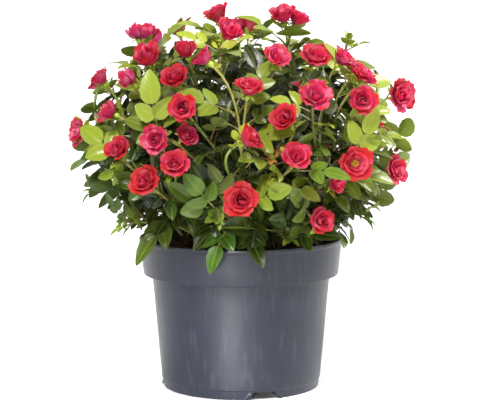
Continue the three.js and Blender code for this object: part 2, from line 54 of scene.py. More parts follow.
# %% [markdown]
# ## Driving dimensions
# These are the same real sizes that the CAD is drawn from: a 19 cm pot, a crown of leaves and blooms that
# bulges over it as a dome, and canes that spread from a hub under the soil. A bearing is counted from the
# front to the right.

# %% Sizes
POT_HEIGHT = 140.0
RIM_RADIUS = 95.0
BAND_BOTTOM_RADIUS = 91.0
BAND_HEIGHT = 34.0
SHOULDER_RADIUS = 83.1
BODY_FOOT_RADIUS = 74.3
FOOT_RADIUS = 73.2
FOOT_HEIGHT = 8.0
WALL = 1.6
CHANNEL_BEARINGS = (17, 137, 257)
CHANNEL_FOOT_WIDTH = 31.0
CHANNEL_ROOF_WIDTH = 18.5
CHANNEL_RISE = 6.7
CHANNEL_INNER_END = 24.0
DRAIN_HOLE_RADIUS = 5.0
DRAIN_HOLE_REACH = 50.0
SOIL_HEIGHT = 128.0
SOIL_MOUND = 5.0
SOIL_GRAIN = 1.6
CROWN_MIDDLE = 232.0
CROWN_RADIUS = 152.0
CROWN_RISE = 118.0
CROWN_DROP = 120.0
LEAF_OVERHANG = 13.0
LOWEST_REACH = 85.0
LOWEST_LEAF = 114.0
TOP_LIMIT = 358.0
HUB = np.array([0.0, 0.0, 68.0])
# Canes stand in rings: how many, their lean in degrees, the first one's bearing, and their length
CANE_RINGS = ((4, 13, 20, 190.0), (8, 37, 0, 150.0))
CANE_RADIUS = 2.2
CANE_SUNK = 18.0
SHOOT_RADIUS = 1.25
SHOOT_STEPS = 3
LEAFLET_BREADTH = 0.29
SEED = 20277
MM = 0.001

pot_low, pot_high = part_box("pot")
print("pot in the frame:", [round(v / MM, 1) for v in (*pot_low, *pot_high)])

# %% [markdown]
# ## Repeatable chance
# Every leaf and petal differs a little. Random numbers could come in one long row, but then one leaf more
# would change all that come after it. So a draw is worked out from whole numbers that name the thing and
# what is decided, by mixing their bits. Each piece has its own chance, and keeps it when others are added.

# %% Draws and directions
# The size of a number of 32 bits, and three such numbers that spread a small key over all of its bits
WORD = 2**32
FIRST_SUM, FIRST_PRODUCT, SECOND_PRODUCT = 0x9E3779B9, 0x85EBCA6B, 0xC2B2AE35


def draw(*keys):
    """A number from 0 to 1: each key is mixed into the seed by products and shifts, in 32 bits."""
    mixed = SEED
    for key in keys:
        mixed = (mixed ^ ((key + FIRST_SUM) % WORD)) * FIRST_PRODUCT % WORD
        mixed ^= mixed >> 13
        mixed = mixed * SECOND_PRODUCT % WORD
        mixed ^= mixed >> 16
    return mixed / WORD


def between(low, high, share):
    """low + (high - low) times share."""
    return low + (high - low) * share


def unit(vector):
    """The vector divided by its length, for one vector or for rows of them."""
    return vector / np.linalg.norm(vector, axis=-1, keepdims=True)


def heading(bearing, lift):
    """The direction (sin b cos l, -cos b cos l, sin l) of a bearing b and a lift l, in degrees."""
    b = math.radians(bearing)
    up = math.radians(lift)
    return np.array([math.sin(b) * math.cos(up), -math.cos(b) * math.cos(up), math.sin(up)])


def cross_axes(direction):
    """Two axes square to a direction, which make a right-handed set with it."""
    guide = np.array([0.0, 0.0, 1.0]) if abs(direction[2]) < 0.9 else np.array([0.0, 1.0, 0.0])
    across = unit(np.cross(guide, direction))
    return across, unit(np.cross(direction, across))


def crown_reach(z):
    """The crown's radius at height z: an ellipse that is a little taller below its middle than above."""
    half = np.where(z > CROWN_MIDDLE, CROWN_RISE, CROWN_DROP)
    return CROWN_RADIUS * np.sqrt(np.maximum(0.0, 1 - ((z - CROWN_MIDDLE) / half) ** 2))


def soil_top(x, y):
    """height + mound (1 - (r / R)^2) + grain times waves of sines, which are about 20 and 7 mm long."""
    out = np.hypot(x, y) / RIM_RADIUS
    grain = np.sin(x * 0.33 + 1.2) * np.cos(y * 0.29 + 0.4) + 0.5 * np.sin(x * 0.71 - y * 0.53)
    return SOIL_HEIGHT + SOIL_MOUND * (1 - out * out) + SOIL_GRAIN * grain * 0.6


# %% [markdown]
# ## From arrays to a mesh
# A stem in leaf is hundreds of small surfaces. Each could be an object, or be built point by point, but with
# so many both are slow. So a piece gathers arrays: the points and the faces of each surface, with values
# that its material reads, which say where a point lies on its leaf or petal, and how this leaf or petal
# differs from the next. One method then writes all of it into a Blender mesh with foreach_set.

# %% The piece


class Piece:
    """Gathers surfaces, then becomes one mesh. A face is four indices, the last of them -1 on a triangle."""

    def __init__(self):
        self.points = []
        self.faces = []
        self.paints = []
        self.places = []
        self.tones = []
        self.count = 0

    def add(self, points, faces, paint=0, place=None, tone=(0.5, 0.5, 0.5)):
        """place is (across, along, side) for each point, and tone is three values for the whole surface."""
        number = len(points)
        self.points.append(points)
        self.faces.append(np.where(faces < 0, -1, faces + self.count))
        self.paints.append(np.full(len(faces), paint))
        self.places.append(np.zeros((number, 3)) if place is None else place)
        self.tones.append(np.broadcast_to(np.asarray(tone, dtype=float), (number, 3)))
        self.count += number

    def finish(self, name, nodes, paints, sharp_degrees=62):
        """Makes the object, which rides on the root body and replaces the named CAD nodes."""
        points = np.concatenate(self.points) * MM
        faces = np.concatenate(self.faces)
        sizes = np.where(faces[:, 3] < 0, 3, 4)
        mesh = bpy.data.meshes.new(name)
        mesh.vertices.add(len(points))
        mesh.vertices.foreach_set("co", points.ravel())
        mesh.loops.add(int(sizes.sum()))
        mesh.loops.foreach_set("vertex_index", faces[faces >= 0].astype(np.int32))
        mesh.polygons.add(len(faces))
        starts = np.concatenate([[0], np.cumsum(sizes)[:-1]])
        mesh.polygons.foreach_set("loop_start", starts.astype(np.int32))
        mesh.polygons.foreach_set("material_index", np.concatenate(self.paints).astype(np.int32))
        for layer, values in (("place", self.places), ("tone", self.tones)):
            attribute = mesh.attributes.new(layer, "FLOAT_VECTOR", "POINT")
            attribute.data.foreach_set("vector", np.concatenate(values).ravel())
        mesh.update(calc_edges=True)
        mesh.validate()
        mesh.polygons.foreach_set("use_smooth", np.ones(len(mesh.polygons), dtype=bool))
        mesh.set_sharp_from_angle(angle=math.radians(sharp_degrees))
        thing = bpy.data.objects.new(name, mesh)
        bpy.context.scene.collection.objects.link(thing)
        for paint in paints:
            mesh.materials.append(paint)
        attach(thing, "root")
        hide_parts(*nodes)
        return thing


# %% [markdown]
# ## Grids with two faces
# A petal or a leaflet is a thin sheet. The Solidify modifier could thicken it, but then the material
# couldn't tell its two sides apart so simply. Here the upper grid and the under grid share their border
# points, so the sheet is closed all round, and the under grid lies one thickness below the upper one.

# %% Sheets and tubes


def sheet_faces(rows, columns):
    """The quads of an upper grid and an under grid of rows x columns points that share their border."""
    upper = np.arange(rows * columns).reshape(rows, columns)
    under = upper.copy()
    inner = (rows - 2) * (columns - 2)
    under[1:-1, 1:-1] = rows * columns + np.arange(inner).reshape(rows - 2, columns - 2)
    quads = []
    for grid, turned in ((upper, False), (under, True)):
        a, b = grid[:-1, :-1].ravel(), grid[:-1, 1:].ravel()
        c, d = grid[1:, 1:].ravel(), grid[1:, :-1].ravel()
        quads.append(np.stack([a, d, c, b] if turned else [a, b, c, d], axis=1))
    return np.concatenate(quads)


def grid_normals(grid):
    """The unit normals of a grid of points: the cross product of its slopes along columns and rows."""
    return unit(np.cross(np.gradient(grid, axis=1), np.gradient(grid, axis=0)) + 1e-12)


def add_sheet(piece, grid, across, along, thickness, paint, tone):
    """Adds a grid (rows, columns, 3) as a closed sheet, with its under side a thickness below it."""
    rows, columns = grid.shape[:2]
    under = (grid - grid_normals(grid) * thickness)[1:-1, 1:-1].reshape(-1, 3)
    points = np.concatenate([grid.reshape(-1, 3), under])
    place = np.stack([across, along, np.zeros_like(across)], axis=-1)
    below = place[1:-1, 1:-1].reshape(-1, 3).copy()
    below[:, 2] = 1.0
    border = place.copy()
    border[[0, -1], :, 2] = 0.5
    border[:, [0, -1], 2] = 0.5
    places = np.concatenate([border.reshape(-1, 3), below])
    piece.add(points, sheet_faces(rows, columns), paint, places, tone)


def ring_faces(count, sides):
    """The quads between rings of points, and the triangles to the two poles, which follow the rings."""
    grid = np.arange(count * sides).reshape(count, sides)
    turned = np.roll(grid, -1, axis=1)
    faces = [np.stack([grid[:-1], turned[:-1], turned[1:], grid[1:]], axis=-1).reshape(-1, 4)]
    for pole, near, far in ((0, turned[0], grid[0]), (1, grid[-1], turned[-1])):
        faces.append(np.stack([near, far, np.full(sides, count * sides + pole), np.full(sides, -1)], axis=1))
    return np.concatenate(faces)


def add_tube(piece, line, radii, sides, paint, tone, first_along=0.0, last_along=1.0):
    """Adds a tube round a line of points: a circle of each radius, square to the line, and closed ends."""
    count = len(line)
    along = unit(np.gradient(line, axis=0))
    guide = cross_axes(along[0])[0]
    frames = []
    for tangent in along:
        guide = unit(guide - tangent * guide.dot(tangent))
        frames.append((guide, np.cross(tangent, guide)))
    axes = np.array(frames)
    turn = np.linspace(0, 2 * math.pi, sides, endpoint=False)
    circle = np.cos(turn)[None, :, None] * axes[:, None, 0] + np.sin(turn)[None, :, None] * axes[:, None, 1]
    rings = line[:, None] + np.asarray(radii)[:, None, None] * circle
    points = np.concatenate([rings.reshape(-1, 3), line[[0, -1]]])
    shares = np.linspace(first_along, last_along, count)
    places = np.zeros((len(points), 3))
    places[: count * sides, 0] = np.tile(turn / (2 * math.pi), count)
    places[: count * sides, 1] = np.repeat(shares, sides)
    places[-2:, 1] = (first_along, last_along)
    piece.add(points, ring_faces(count, sides), paint, places, tone)


# %% [markdown]
# ## How the plant branches
# A real plant branches first and blooms at its ends. A growth rule could do the same, but the blooms would
# then be anywhere. So this one is drawn backwards. Blooms that the front shows are listed one by one, and
# those behind follow a rule. Each cane is a straight line out of the hub, and a shoot leaves the nearest
# one on a Bezier curve and ends under its bloom, pointing the way the bloom faces.

# %% Canes and blooms

# Each bloom: the bearing and the height of its middle, how far it stands out of the crown's dome, how far
# it faces aside from straight out, how far it faces up, its width, and how open it is from 0, a bud, to 1,
# flat.
FRONT_SPRAYS = [
    [(-89, 331, 13, -20, 80, 22, 0.45), (-86, 331, 2, 145, 80, 22, 0.5)],
    [(-47, 311, 0, 15, 50, 28, 0.55)],
    [(-29, 318, -3, -10, 62, 21, 0.35)],
    [(-36, 347, 3, -25, 55, 27, 0.7)],
    [(-8, 333, -2, 45, 42, 27, 0.65)],
    [(-17, 310, -2, -85, 40, 23, 0.75)],
    [(-75, 290, 0, -5, 50, 22, 0.65)],
    [(-51, 292, 0, -20, 42, 20, 0.15)],
    [(-27, 293, -4, 5, 42, 26, 0.6)],
    [(-20, 269, 2, 15, 14, 27, 0.85)],
    [(-56, 262, -4, -40, 25, 22, 0.5)],
    [(-77, 240, 0, 25, 12, 28, 0.9)],
    [(-45, 230, 0, 15, 42, 26, 0.75)],
    [(-29, 241, 0, 15, 10, 26, 0.9)],
    [(-20, 245, -15, 50, 20, 20, 0.6)],
    [(-22, 221, 0, 20, 34, 26, 0.9)],
    [(-34, 204, 0, 10, 26, 29, 0.85)],
    [(0, 190, 0, -5, 14, 33, 1)],
    [(3, 286, -3, 15, 62, 27, 0.75)],
    [(3, 244, -5, 70, 30, 26, 0.6)],
    [(16, 310, 0, 0, 42, 26, 0.75)],
    [(35, 310, -1, -15, 46, 28, 0.7)],
    [(87, 347, 4, -115, 66, 26, 0.6), (93, 343, 1, -25, 64, 25, 0.7)],
    [(27, 278, 0, -20, 38, 30, 0.9)],
    [(15, 260, -1, -45, 30, 27, 0.7)],
    [(18, 227, 0, -10, 32, 26, 0.8)],
    [(41, 219, 0, -25, 8, 32, 1)],
    [(70, 207, 0, -30, 10, 27, 0.9)],
    [(33, 168, 1, -15, 8, 25, 0.85)],
    [(48, 273, 0, -40, 10, 27, 0.9)],
    [(85, 272, 5, -45, 8, 32, 0.9)],
    [(53, 309, -2, 5, 50, 24, 0.7), (56, 296, -2, 5, 40, 25, 0.8), (62, 291, -2, 20, 35, 21, 0.7)],
    [(38, 200, -11, 10, 8, 20, 0.6)],
]
BACK_SPRAYS = 13
BACK_BEARINGS, BACK_HEIGHTS, BACK_LIFTS = (98, 262), (172, 342), (12, 62)
BACK_WIDTHS, BACK_OPENNESS = (24, 30), (0.55, 1)
GOLDEN_SHARE = 0.618
# The depth of a bud and of a flat flower, as shares of the width
BUD_DEPTH, FLAT_DEPTH = 0.95, 0.36


def lay_back_sprays():
    """The blooms behind: bearings step by the golden ratio and heights rise evenly over the crown."""
    sprays = []
    for k in range(BACK_SPRAYS):
        bearing = between(*BACK_BEARINGS, (k * GOLDEN_SHARE + 0.05) % 1)
        height = between(*BACK_HEIGHTS, (k + 0.5 + 0.5 * (draw(k, 1) - 0.5)) / BACK_SPRAYS)
        width = between(*BACK_WIDTHS, draw(k, 2))
        openness = between(*BACK_OPENNESS, draw(k, 3))
        aside = 30 * (draw(k, 4) - 0.5)
        share = (height - BACK_HEIGHTS[0]) / (BACK_HEIGHTS[1] - BACK_HEIGHTS[0])
        lift = between(*BACK_LIFTS, share**1.5)
        spray = [(bearing, height, -3, aside, lift, width, openness)]
        if k % 3 == 0:
            turn = math.degrees(width * 0.52 / crown_reach(height))
            step = 9 * (draw(k, 5) - 0.5)
            second = (bearing + turn, height + step, -5, aside + 20, lift + 6, width * 0.86, openness * 0.9)
            spray.append(second)
        sprays.append(spray)
    return sprays


def bloom_of(bearing, height, out, aside, lift, width, openness):
    """A bloom's place and axis. Its depth shrinks from a bud's to a flat flower's as it opens."""
    middle = heading(bearing, 0) * (crown_reach(height) + out)
    middle[2] = height
    axis = heading(bearing + aside, lift)
    depth = between(width * BUD_DEPTH, width * FLAT_DEPTH, openness)
    return {
        "middle": middle,
        "axis": axis,
        "width": width,
        "open": openness,
        "depth": depth,
        "base": middle - axis * depth * 0.5,
    }


def lay_canes():
    """Canes in two rings: each has a lean from upright, a bearing and a length from the hub."""
    canes = []
    for count, lean, first_bearing, length in CANE_RINGS:
        for k in range(count):
            direction = heading(first_bearing + 360 * k / count, 90 - lean)
            foot = HUB + direction * (SOIL_HEIGHT - CANE_SUNK - HUB[2]) / direction[2]
            head = HUB + direction * length
            canes.append({"direction": direction, "foot": foot, "head": head, "shoots": [], "leaves": []})
    return canes


canes = lay_canes()
bloom_sprays = [[bloom_of(*bloom) for bloom in spray] for spray in FRONT_SPRAYS + lay_back_sprays()]
blooms = [bloom for spray in bloom_sprays for bloom in spray]
print("canes:", len(canes), "blooms:", len(blooms))

# %% [markdown]
# ## Shoots
# A shoot leaves its cane at a height that grows with its own, follows the cane for a third of its length,
# and then bends over to its end. Leafy shoots without a bloom fill the crown in between, spaced by the
# golden angle.

# %% Shoots


def bezier(corners, t):
    """The cubic Bezier curve of four corners at each share t."""
    t = np.asarray(t, dtype=float)[..., None]
    a, b, c, d = corners
    return (1 - t) ** 3 * a + 3 * (1 - t) ** 2 * t * b + 3 * (1 - t) * t**2 * c + t**3 * d


def even_shares(corners, shares):
    """The curve's own parameter at each share of its length, from the lengths of 200 chords."""
    points = bezier(corners, np.linspace(0, 1, 201))
    lengths = np.concatenate([[0], np.cumsum(np.linalg.norm(np.diff(points, axis=0), axis=1))])
    return np.interp(np.asarray(shares, dtype=float) * lengths[-1], lengths, np.linspace(0, 1, 201))


def nearest_cane(point):
    """The cane that points most nearly from the hub to a point."""
    way = unit(point - HUB)
    return canes[int(np.argmax([cane["direction"].dot(way) for cane in canes]))]


def grow_shoot(cane, end, axis, bloom):
    """Adds a shoot that runs from its cane to an end point and arrives along an axis."""
    want = SOIL_HEIGHT + 0.45 * (end[2] - SOIL_HEIGHT)
    share = (want - cane["foot"][2]) / (cane["head"][2] - cane["foot"][2])
    start = between(cane["foot"], cane["head"], min(0.97, max(0.28, share)))
    length = float(np.linalg.norm(end - start))
    corners = (start, start + cane["direction"] * length * 0.3, end - axis * length * 0.33, end)
    knots = bezier(corners, even_shares(corners, np.linspace(0, 1, SHOOT_STEPS + 1)))
    cane["shoots"].append({"corners": corners, "knots": knots, "bloom": bloom, "length": length})


def on_chords(shoot, share):
    """The point at a share of a shoot that runs straight from knot to knot, as the CAD's shoots do."""
    place = min(share * SHOOT_STEPS, SHOOT_STEPS - 1e-6)
    k = int(place)
    return between(shoot["knots"][k], shoot["knots"][k + 1], place - k)


def slope_at(corners, share):
    """The unit direction of the curve at a share of its length, from two points close together."""
    t = float(even_shares(corners, share))
    low, high = max(0.0, t - 0.0001), min(1.0, t + 0.0001)
    return unit(bezier(corners, high) - bezier(corners, low))


HIP_LENGTH = 6.0
LEAFY_TIPS = 27
TIP_CLEARANCE = 25.0
TIP_TURN = 137.508
LOWEST_TIP, HIGHEST_TIP = 152.0, 336.0

for bloom in blooms:
    hip_foot = bloom["base"] - bloom["axis"] * HIP_LENGTH
    grow_shoot(nearest_cane(bloom["base"]), hip_foot, bloom["axis"], bloom)
for k in range(LEAFY_TIPS):
    z = between(LOWEST_TIP, HIGHEST_TIP, ((k + 0.5) / LEAFY_TIPS) ** 1.35)
    bearing = (k * TIP_TURN + 24) % 360
    tip = heading(bearing, 0) * crown_reach(z) * between(0.82, 0.95, draw(k, 31))
    tip[2] = z
    if min(np.linalg.norm(bloom["middle"] - tip) for bloom in blooms) < TIP_CLEARANCE:
        continue
    lift = between(-5, 70, (z - LOWEST_TIP) / (HIGHEST_TIP - LOWEST_TIP))
    grow_shoot(nearest_cane(tip), tip, heading(bearing, lift), None)
print("shoots:", sum(len(cane["shoots"]) for cane in canes))

# %% [markdown]
# ## Leaves
# A rose leaf is compound: a stalk carries one leaflet at its end and one or two pairs along it. Leaves that
# are scattered over a crown cut through each other and hide the blooms. So they are tried one place after
# another, and each is kept clear of the leaves, stems and blooms before it. The first round gives the leaves
# of the CAD. A few more hang over the rim, and two rounds of smaller ones fill the gaps, so that the crown
# is as dense as on a real plant. Those turn their faces a little to the window, as leaves do in the shade.

# %% Leaves' shapes and marks
# The way to the window, from which the light comes
WINDOW = np.array([-0.2, -0.6, 0.3])
# Leaves face away from this point in the crown, and swing from that by chance
LOOK_FROM = np.array([0.0, 0.0, CROWN_MIDDLE - 60])
LEAF_SWING, FILLER_SWING = 0.7, 1.3
# How many degrees a side leaflet turns from the rib, and the share of leaves with five leaflets
PAIR_TURN, FIVE_LEAFLETS = 58.0, 0.14
# Where marks lie on a leaflet: the share of its length, and of its half-width
LEAFLET_SPOTS = np.array(
    [(0.25, 0), (0.5, 0), (0.75, 0), (1, 0), (0.45, 0.9), (0.45, -0.9), (0.75, 0.5), (0.75, -0.5)]
)


def leaf_place(leaf, a, b, lift=0.0):
    """root + a along + b side + (lift - sag) up, where the sag is (droop a^2 + cup b^2) / length."""
    a, b = np.asarray(a, dtype=float), np.asarray(b, dtype=float)
    rise = lift - (leaf["droop"] * a * a + leaf["cup"] * b * b) / leaf["length"]
    level = leaf["root"] + a[..., None] * leaf["along"] + b[..., None] * leaf["side"]
    return level + rise[..., None] * leaf["up"]


def leaflets(leaf):
    """Each leaflet's start on the rib, its length and its turn: pairs at the sides, and one straight on."""
    length = leaf["length"]
    pairs = [(0.42, 0.36)] if leaf["pairs"] == 1 else [(0.28, 0.28), (0.53, 0.32)]
    end = 0.58 if leaf["pairs"] == 1 else 0.66
    rows = [(length * at, length * size, turn) for at, size in pairs for turn in (PAIR_TURN, -PAIR_TURN)]
    return [*rows, (length * end, length * (1 - end), 0.0)]


def leaflet_point(at, turn, out, off):
    """A point of a leaflet in its leaf's plane: (out, off) turned and moved to where the leaflet starts."""
    c, s = math.cos(math.radians(turn)), math.sin(math.radians(turn))
    return at + out * c - off * s, out * s + off * c


def leaf_marks(leaf):
    """Points spread over a leaf, by which it is kept clear of what is there already."""
    marks = [leaf_place(leaf, leaf["length"] * np.array([0.3, 0.45]), np.zeros(2))]
    for at, length, turn in leaflets(leaf):
        spread = length * LEAFLET_BREADTH * LEAFLET_SPOTS[:, 1]
        marks.append(leaf_place(leaf, *leaflet_point(at, turn, length * LEAFLET_SPOTS[:, 0], spread)))
    return np.concatenate(marks)


# %% [markdown]
# Leaves turn to the light. A leaf runs sideways and outwards from its shoot, and its face looks up and out
# of the crown. Its place is kept as a point and three directions: along the stalk, to the side, and up from
# its face. Every part of the leaf is drawn in these.

# %% A leaf's place


def leaf_at(shoot, share, keys, turn, sizes, swing=LEAF_SWING):
    """A leaf that leaves a shoot sideways at a turn and faces up and out, with a swing by chance."""
    root = on_chords(shoot, share)
    stem = slope_at(shoot["corners"], share)
    across, over = cross_axes(stem)
    away = across * math.cos(math.radians(turn)) + over * math.sin(math.radians(turn))
    outward = unit(root - LOOK_FROM)
    along = unit(stem * 0.5 + away * 0.85 + outward * 0.35)
    look = outward * 0.9 + np.array([0, 0, 0.55])
    look = look + np.array([draw(*keys, 21) - 0.5, draw(*keys, 22) - 0.5, draw(*keys, 23) - 0.5]) * swing
    look = look + WINDOW * (swing - LEAF_SWING)
    up = unit(look - along * look.dot(along))
    return {
        "shoot": shoot,
        "share": share,
        "root": root,
        "along": along,
        "up": up,
        "side": unit(np.cross(up, along)),
        "length": between(*sizes, draw(*keys, 24)),
        "pairs": 2 if draw(*keys, 25) < FIVE_LEAFLETS else 1,
        "droop": between(0.12, 0.42, draw(*keys, 26)),
        "cup": between(0.05, 0.3, draw(*keys, 27)),
        "keys": keys,
        "fine": False,
    }


# %% [markdown]
# A leaf is refused where its points leave the crown, touch the pot or the soil, or come nearer to other
# leaves, stems or blooms than they may. For that, the stems are turned into rows of points, and each bloom
# keeps an ellipsoid free round its middle.

# %% Room for leaves
LEAF_SIZES, LEAF_GAP = (50.0, 66.0), 6.5
DRAPED_SIZES, DRAPED_GAP = (46.0, 60.0), 3.5
FILLER_SIZES, FILLER_GAP = (34.0, 54.0), 3.6
INNER_SIZES, INNER_GAP = (30.0, 46.0), 1.8
FILLER_TOP, FILLER_OVERHANG, LOW_OVERHANG, LOW_PART = 338.0, 2.0, 5.0, 190.0
STEM_GAP, OWN_STEM, STEM_STEP = 3.6, 14.0, 4
# How far leaves stay above the rim, inside and outside of it, and above the soil
RIM_ABOVE, RIM_INSIDE, RIM_OUTSIDE, SOIL_ABOVE = 3, 6, 3, 4
# How far the room of a bloom goes past its rim and past its face and foot
BLOOM_ASIDE, BLOOM_ALONG = 2.5, 5
# How far before its middle a leaf can hide a bloom, and the share of its radius that counts
HIDING_DEPTH, HIDING_SHARE = 40, 0.75

for cane in canes:
    thirds = [between(cane["foot"], cane["head"], k / 3) for k in range(4)]
    length = float(np.linalg.norm(cane["head"] - cane["foot"]))
    cane["wood"] = {"corners": thirds, "knots": thirds, "bloom": None, "length": length}
woods = [cane["wood"] for cane in canes] + [shoot for cane in canes for shoot in cane["shoots"]]
stem_points, stem_owners = [], []
for owner, wood in enumerate(woods):
    wood["owner"] = owner
    steps = math.ceil(wood["length"] / STEM_STEP)
    stem_points += [on_chords(wood, k / steps) for k in range(steps + 1)]
    stem_owners += [owner] * (steps + 1)
stem_points, stem_owners = np.array(stem_points), np.array(stem_owners)
bloom_middles = np.array([bloom["middle"] for bloom in blooms])
bloom_axes = np.array([bloom["axis"] for bloom in blooms])
bloom_halves = np.array(
    [(bloom["width"] / 2 + BLOOM_ASIDE, bloom["depth"] / 2 + BLOOM_ALONG) for bloom in blooms]
)
print("stem points:", len(stem_points))


def from_blooms(marks):
    """How far each mark lies along every bloom's axis from its middle, and how far aside from the axis."""
    away = marks[:, None] - bloom_middles
    rise = (away * bloom_axes).sum(axis=2)
    return rise, np.sqrt(np.maximum(0.0, (away**2).sum(axis=2) - rise**2))


def hides_bloom(marks):
    """Whether a leaf's marks lie in front of a bloom: over its face, along its axis."""
    rise, aside = from_blooms(marks)
    over_face = (rise > 0) & (rise < HIDING_DEPTH) & (aside < bloom_halves[:, 0] * HIDING_SHARE)
    return bool(over_face.any())


def blocked(marks, leaf, taken, gap):
    """Whether a mark leaves the dome, touches pot or soil, or is too near to a leaf, a stem or a bloom."""
    out, z = np.hypot(marks[:, 0], marks[:, 1]), marks[:, 2]
    filler = gap in (FILLER_GAP, INNER_GAP)
    outside = (z < LOWEST_LEAF) | (z > (FILLER_TOP if filler else TOP_LIMIT))
    overhang = np.where(z > LOW_PART, FILLER_OVERHANG, LOW_OVERHANG) if filler else LEAF_OVERHANG
    outside |= out > crown_reach(np.maximum(z, CROWN_MIDDLE - LOWEST_REACH)) + overhang
    on_rim = (out > RIM_RADIUS - WALL - RIM_INSIDE) & (out < RIM_RADIUS + RIM_OUTSIDE)
    outside |= (z < POT_HEIGHT + RIM_ABOVE) & on_rim
    outside |= (out < RIM_RADIUS) & (z < soil_top(marks[:, 0], marks[:, 1]) + SOIL_ABOVE)
    if outside.any():
        return True
    from_root = np.linalg.norm(stem_points - leaf["root"], axis=1)
    others = stem_points[(stem_owners != leaf["shoot"]["owner"]) | (from_root >= OWN_STEM)]
    for points, least in ((taken, gap), (others, STEM_GAP)):
        close = points[np.abs(points - leaf["root"]).max(axis=1) < leaf["length"] + gap]
        if len(close) and (((marks[:, None] - close) ** 2).sum(axis=2) < least * least).any():
            return True
    rise, aside = from_blooms(marks)
    return bool(((aside / bloom_halves[:, 0]) ** 2 + (rise / bloom_halves[:, 1]) ** 2 < 1).any())


# %% [markdown]
# A row of leaves goes along each shoot, each turned on from the one before it by the golden angle, as
# most plants set them. Where a leaf finds no room, it is tried again further round the shoot. The points
# of all kept leaves are gathered in one array.

# %% Rounds of leaves
LEAF_TURN, NEXT_TRY = 137.5, 73
CAD_TRIES = 7
# Where leaves leave a shoot with a bloom, which has only the first if it is short, and one without
BLOOM_SHARES, SHORT_SHOOT, LEAFY_SHARES = (0.84, 0.62), 78, (0.94, 0.72, 0.48)
# The rounds of fillers: their shares, what their draws count from, tries, sizes and gap
FILLER_SHARES = (0.97, 0.88, 0.78, 0.68, 0.57, 0.46, 0.34, 0.22)
INNER_SHARES = (0.74, 0.63, 0.52, 0.42, 0.3, 0.18, 0.08)
FILLER_ROUNDS = (
    (FILLER_SHARES, 42, 50, 5, FILLER_SIZES, FILLER_GAP),
    (INNER_SHARES, 43, 90, 4, INNER_SIZES, INNER_GAP),
)
# The marks of all leaves that are kept
taken = np.zeros((0, 3))


def keep_leaf(cane, leaf, marks, fine):
    """Gives the leaf to its cane and takes its room. Fine leaves are shown with more faces."""
    global taken
    taken = np.concatenate([taken, marks])
    leaf["fine"] = fine
    cane["leaves"].append(leaf)


def place_leaf(cane, leaf_keys, shoot, share, first_turn, attempts, sizes, gap):
    """Tries a leaf at turns a step apart, and keeps the first that is free. Fillers hide no bloom."""
    of_the_cad = gap == LEAF_GAP
    swing = LEAF_SWING if of_the_cad else FILLER_SWING
    for attempt in range(attempts):
        turn = first_turn + NEXT_TRY * attempt
        leaf = leaf_at(shoot, share, [*leaf_keys, attempt], turn, sizes, swing)
        marks = leaf_marks(leaf)
        if not blocked(marks, leaf, taken, gap) and (of_the_cad or not hides_bloom(marks)):
            keep_leaf(cane, leaf, marks, of_the_cad)
            return


def place_row(cane, shoot, keys, shares, turn_key, first_key, attempts, sizes, gap):
    """A row of leaves along one shoot, at shares of its length."""
    for n, share in enumerate(shares):
        turn = 360 * draw(*keys, turn_key) + LEAF_TURN * n
        place_leaf(cane, [*keys, n + first_key], shoot, share, turn, attempts, sizes, gap)


# %% [markdown]
# The lowest leaves of a bushy plant bend over the rim of its pot. Each of these starts low on the cane that
# is nearest to its bearing, points out and nearly level, and droops more than the others.

# %% Leaves over the rim
DRAPED_TRIES = 12
DRAPED_BEARINGS = (-46, -14, 3, 27, 140, 171, 205)
# From least to most, by chance: the root's height, how far it points down or up, and the droop
DRAPED_ROOTS, DRAPED_FALLS, DRAPED_DROOPS = (150, 172), (-14, 6), (0.4, 0.62)


def drape_leaf(bearing, key):
    """A leaf that starts low on a cane and hangs over the pot's rim at a bearing, if there is room."""
    for attempt in range(DRAPED_TRIES):
        chance = [draw(key, attempt, k) for k in (44, 45, 47, 48, 49)]
        aim = heading(bearing + 5 * (chance[0] - 0.5), 0)
        cane = nearest_cane(aim * 80 + np.array([0, 0, 165]))
        root_z = between(*DRAPED_ROOTS, chance[1])
        share = (root_z - cane["foot"][2]) / (cane["head"][2] - cane["foot"][2])
        leaf = leaf_at(cane["wood"], share, [key, attempt, 46], 0, DRAPED_SIZES)
        reach = aim * (RIM_RADIUS + 10) - leaf["root"]
        leaf["along"] = unit(np.array([reach[0], reach[1], between(*DRAPED_FALLS, chance[2])]))
        look = aim * 0.4 + np.array([0.6 * (chance[3] - 0.5), -0.35, 0.85])
        leaf["up"] = unit(look - leaf["along"] * look.dot(leaf["along"]))
        leaf["side"] = np.cross(leaf["up"], leaf["along"])
        leaf["droop"] = between(*DRAPED_DROOPS, chance[4])
        marks = leaf_marks(leaf)
        if not blocked(marks, leaf, taken, DRAPED_GAP):
            keep_leaf(cane, leaf, marks, True)
            return


# %% [markdown]
# The first round goes along every shoot. Then come the leaves over the rim, and the fillers go along canes
# and shoots alike. In the end each leaf moves from the straight chord of its shoot, on which the CAD has it,
# onto the curve that is drawn here.

# %% Growing the leaves


def leaf_count():
    """How many leaves the canes carry so far."""
    return sum(len(cane["leaves"]) for cane in canes)


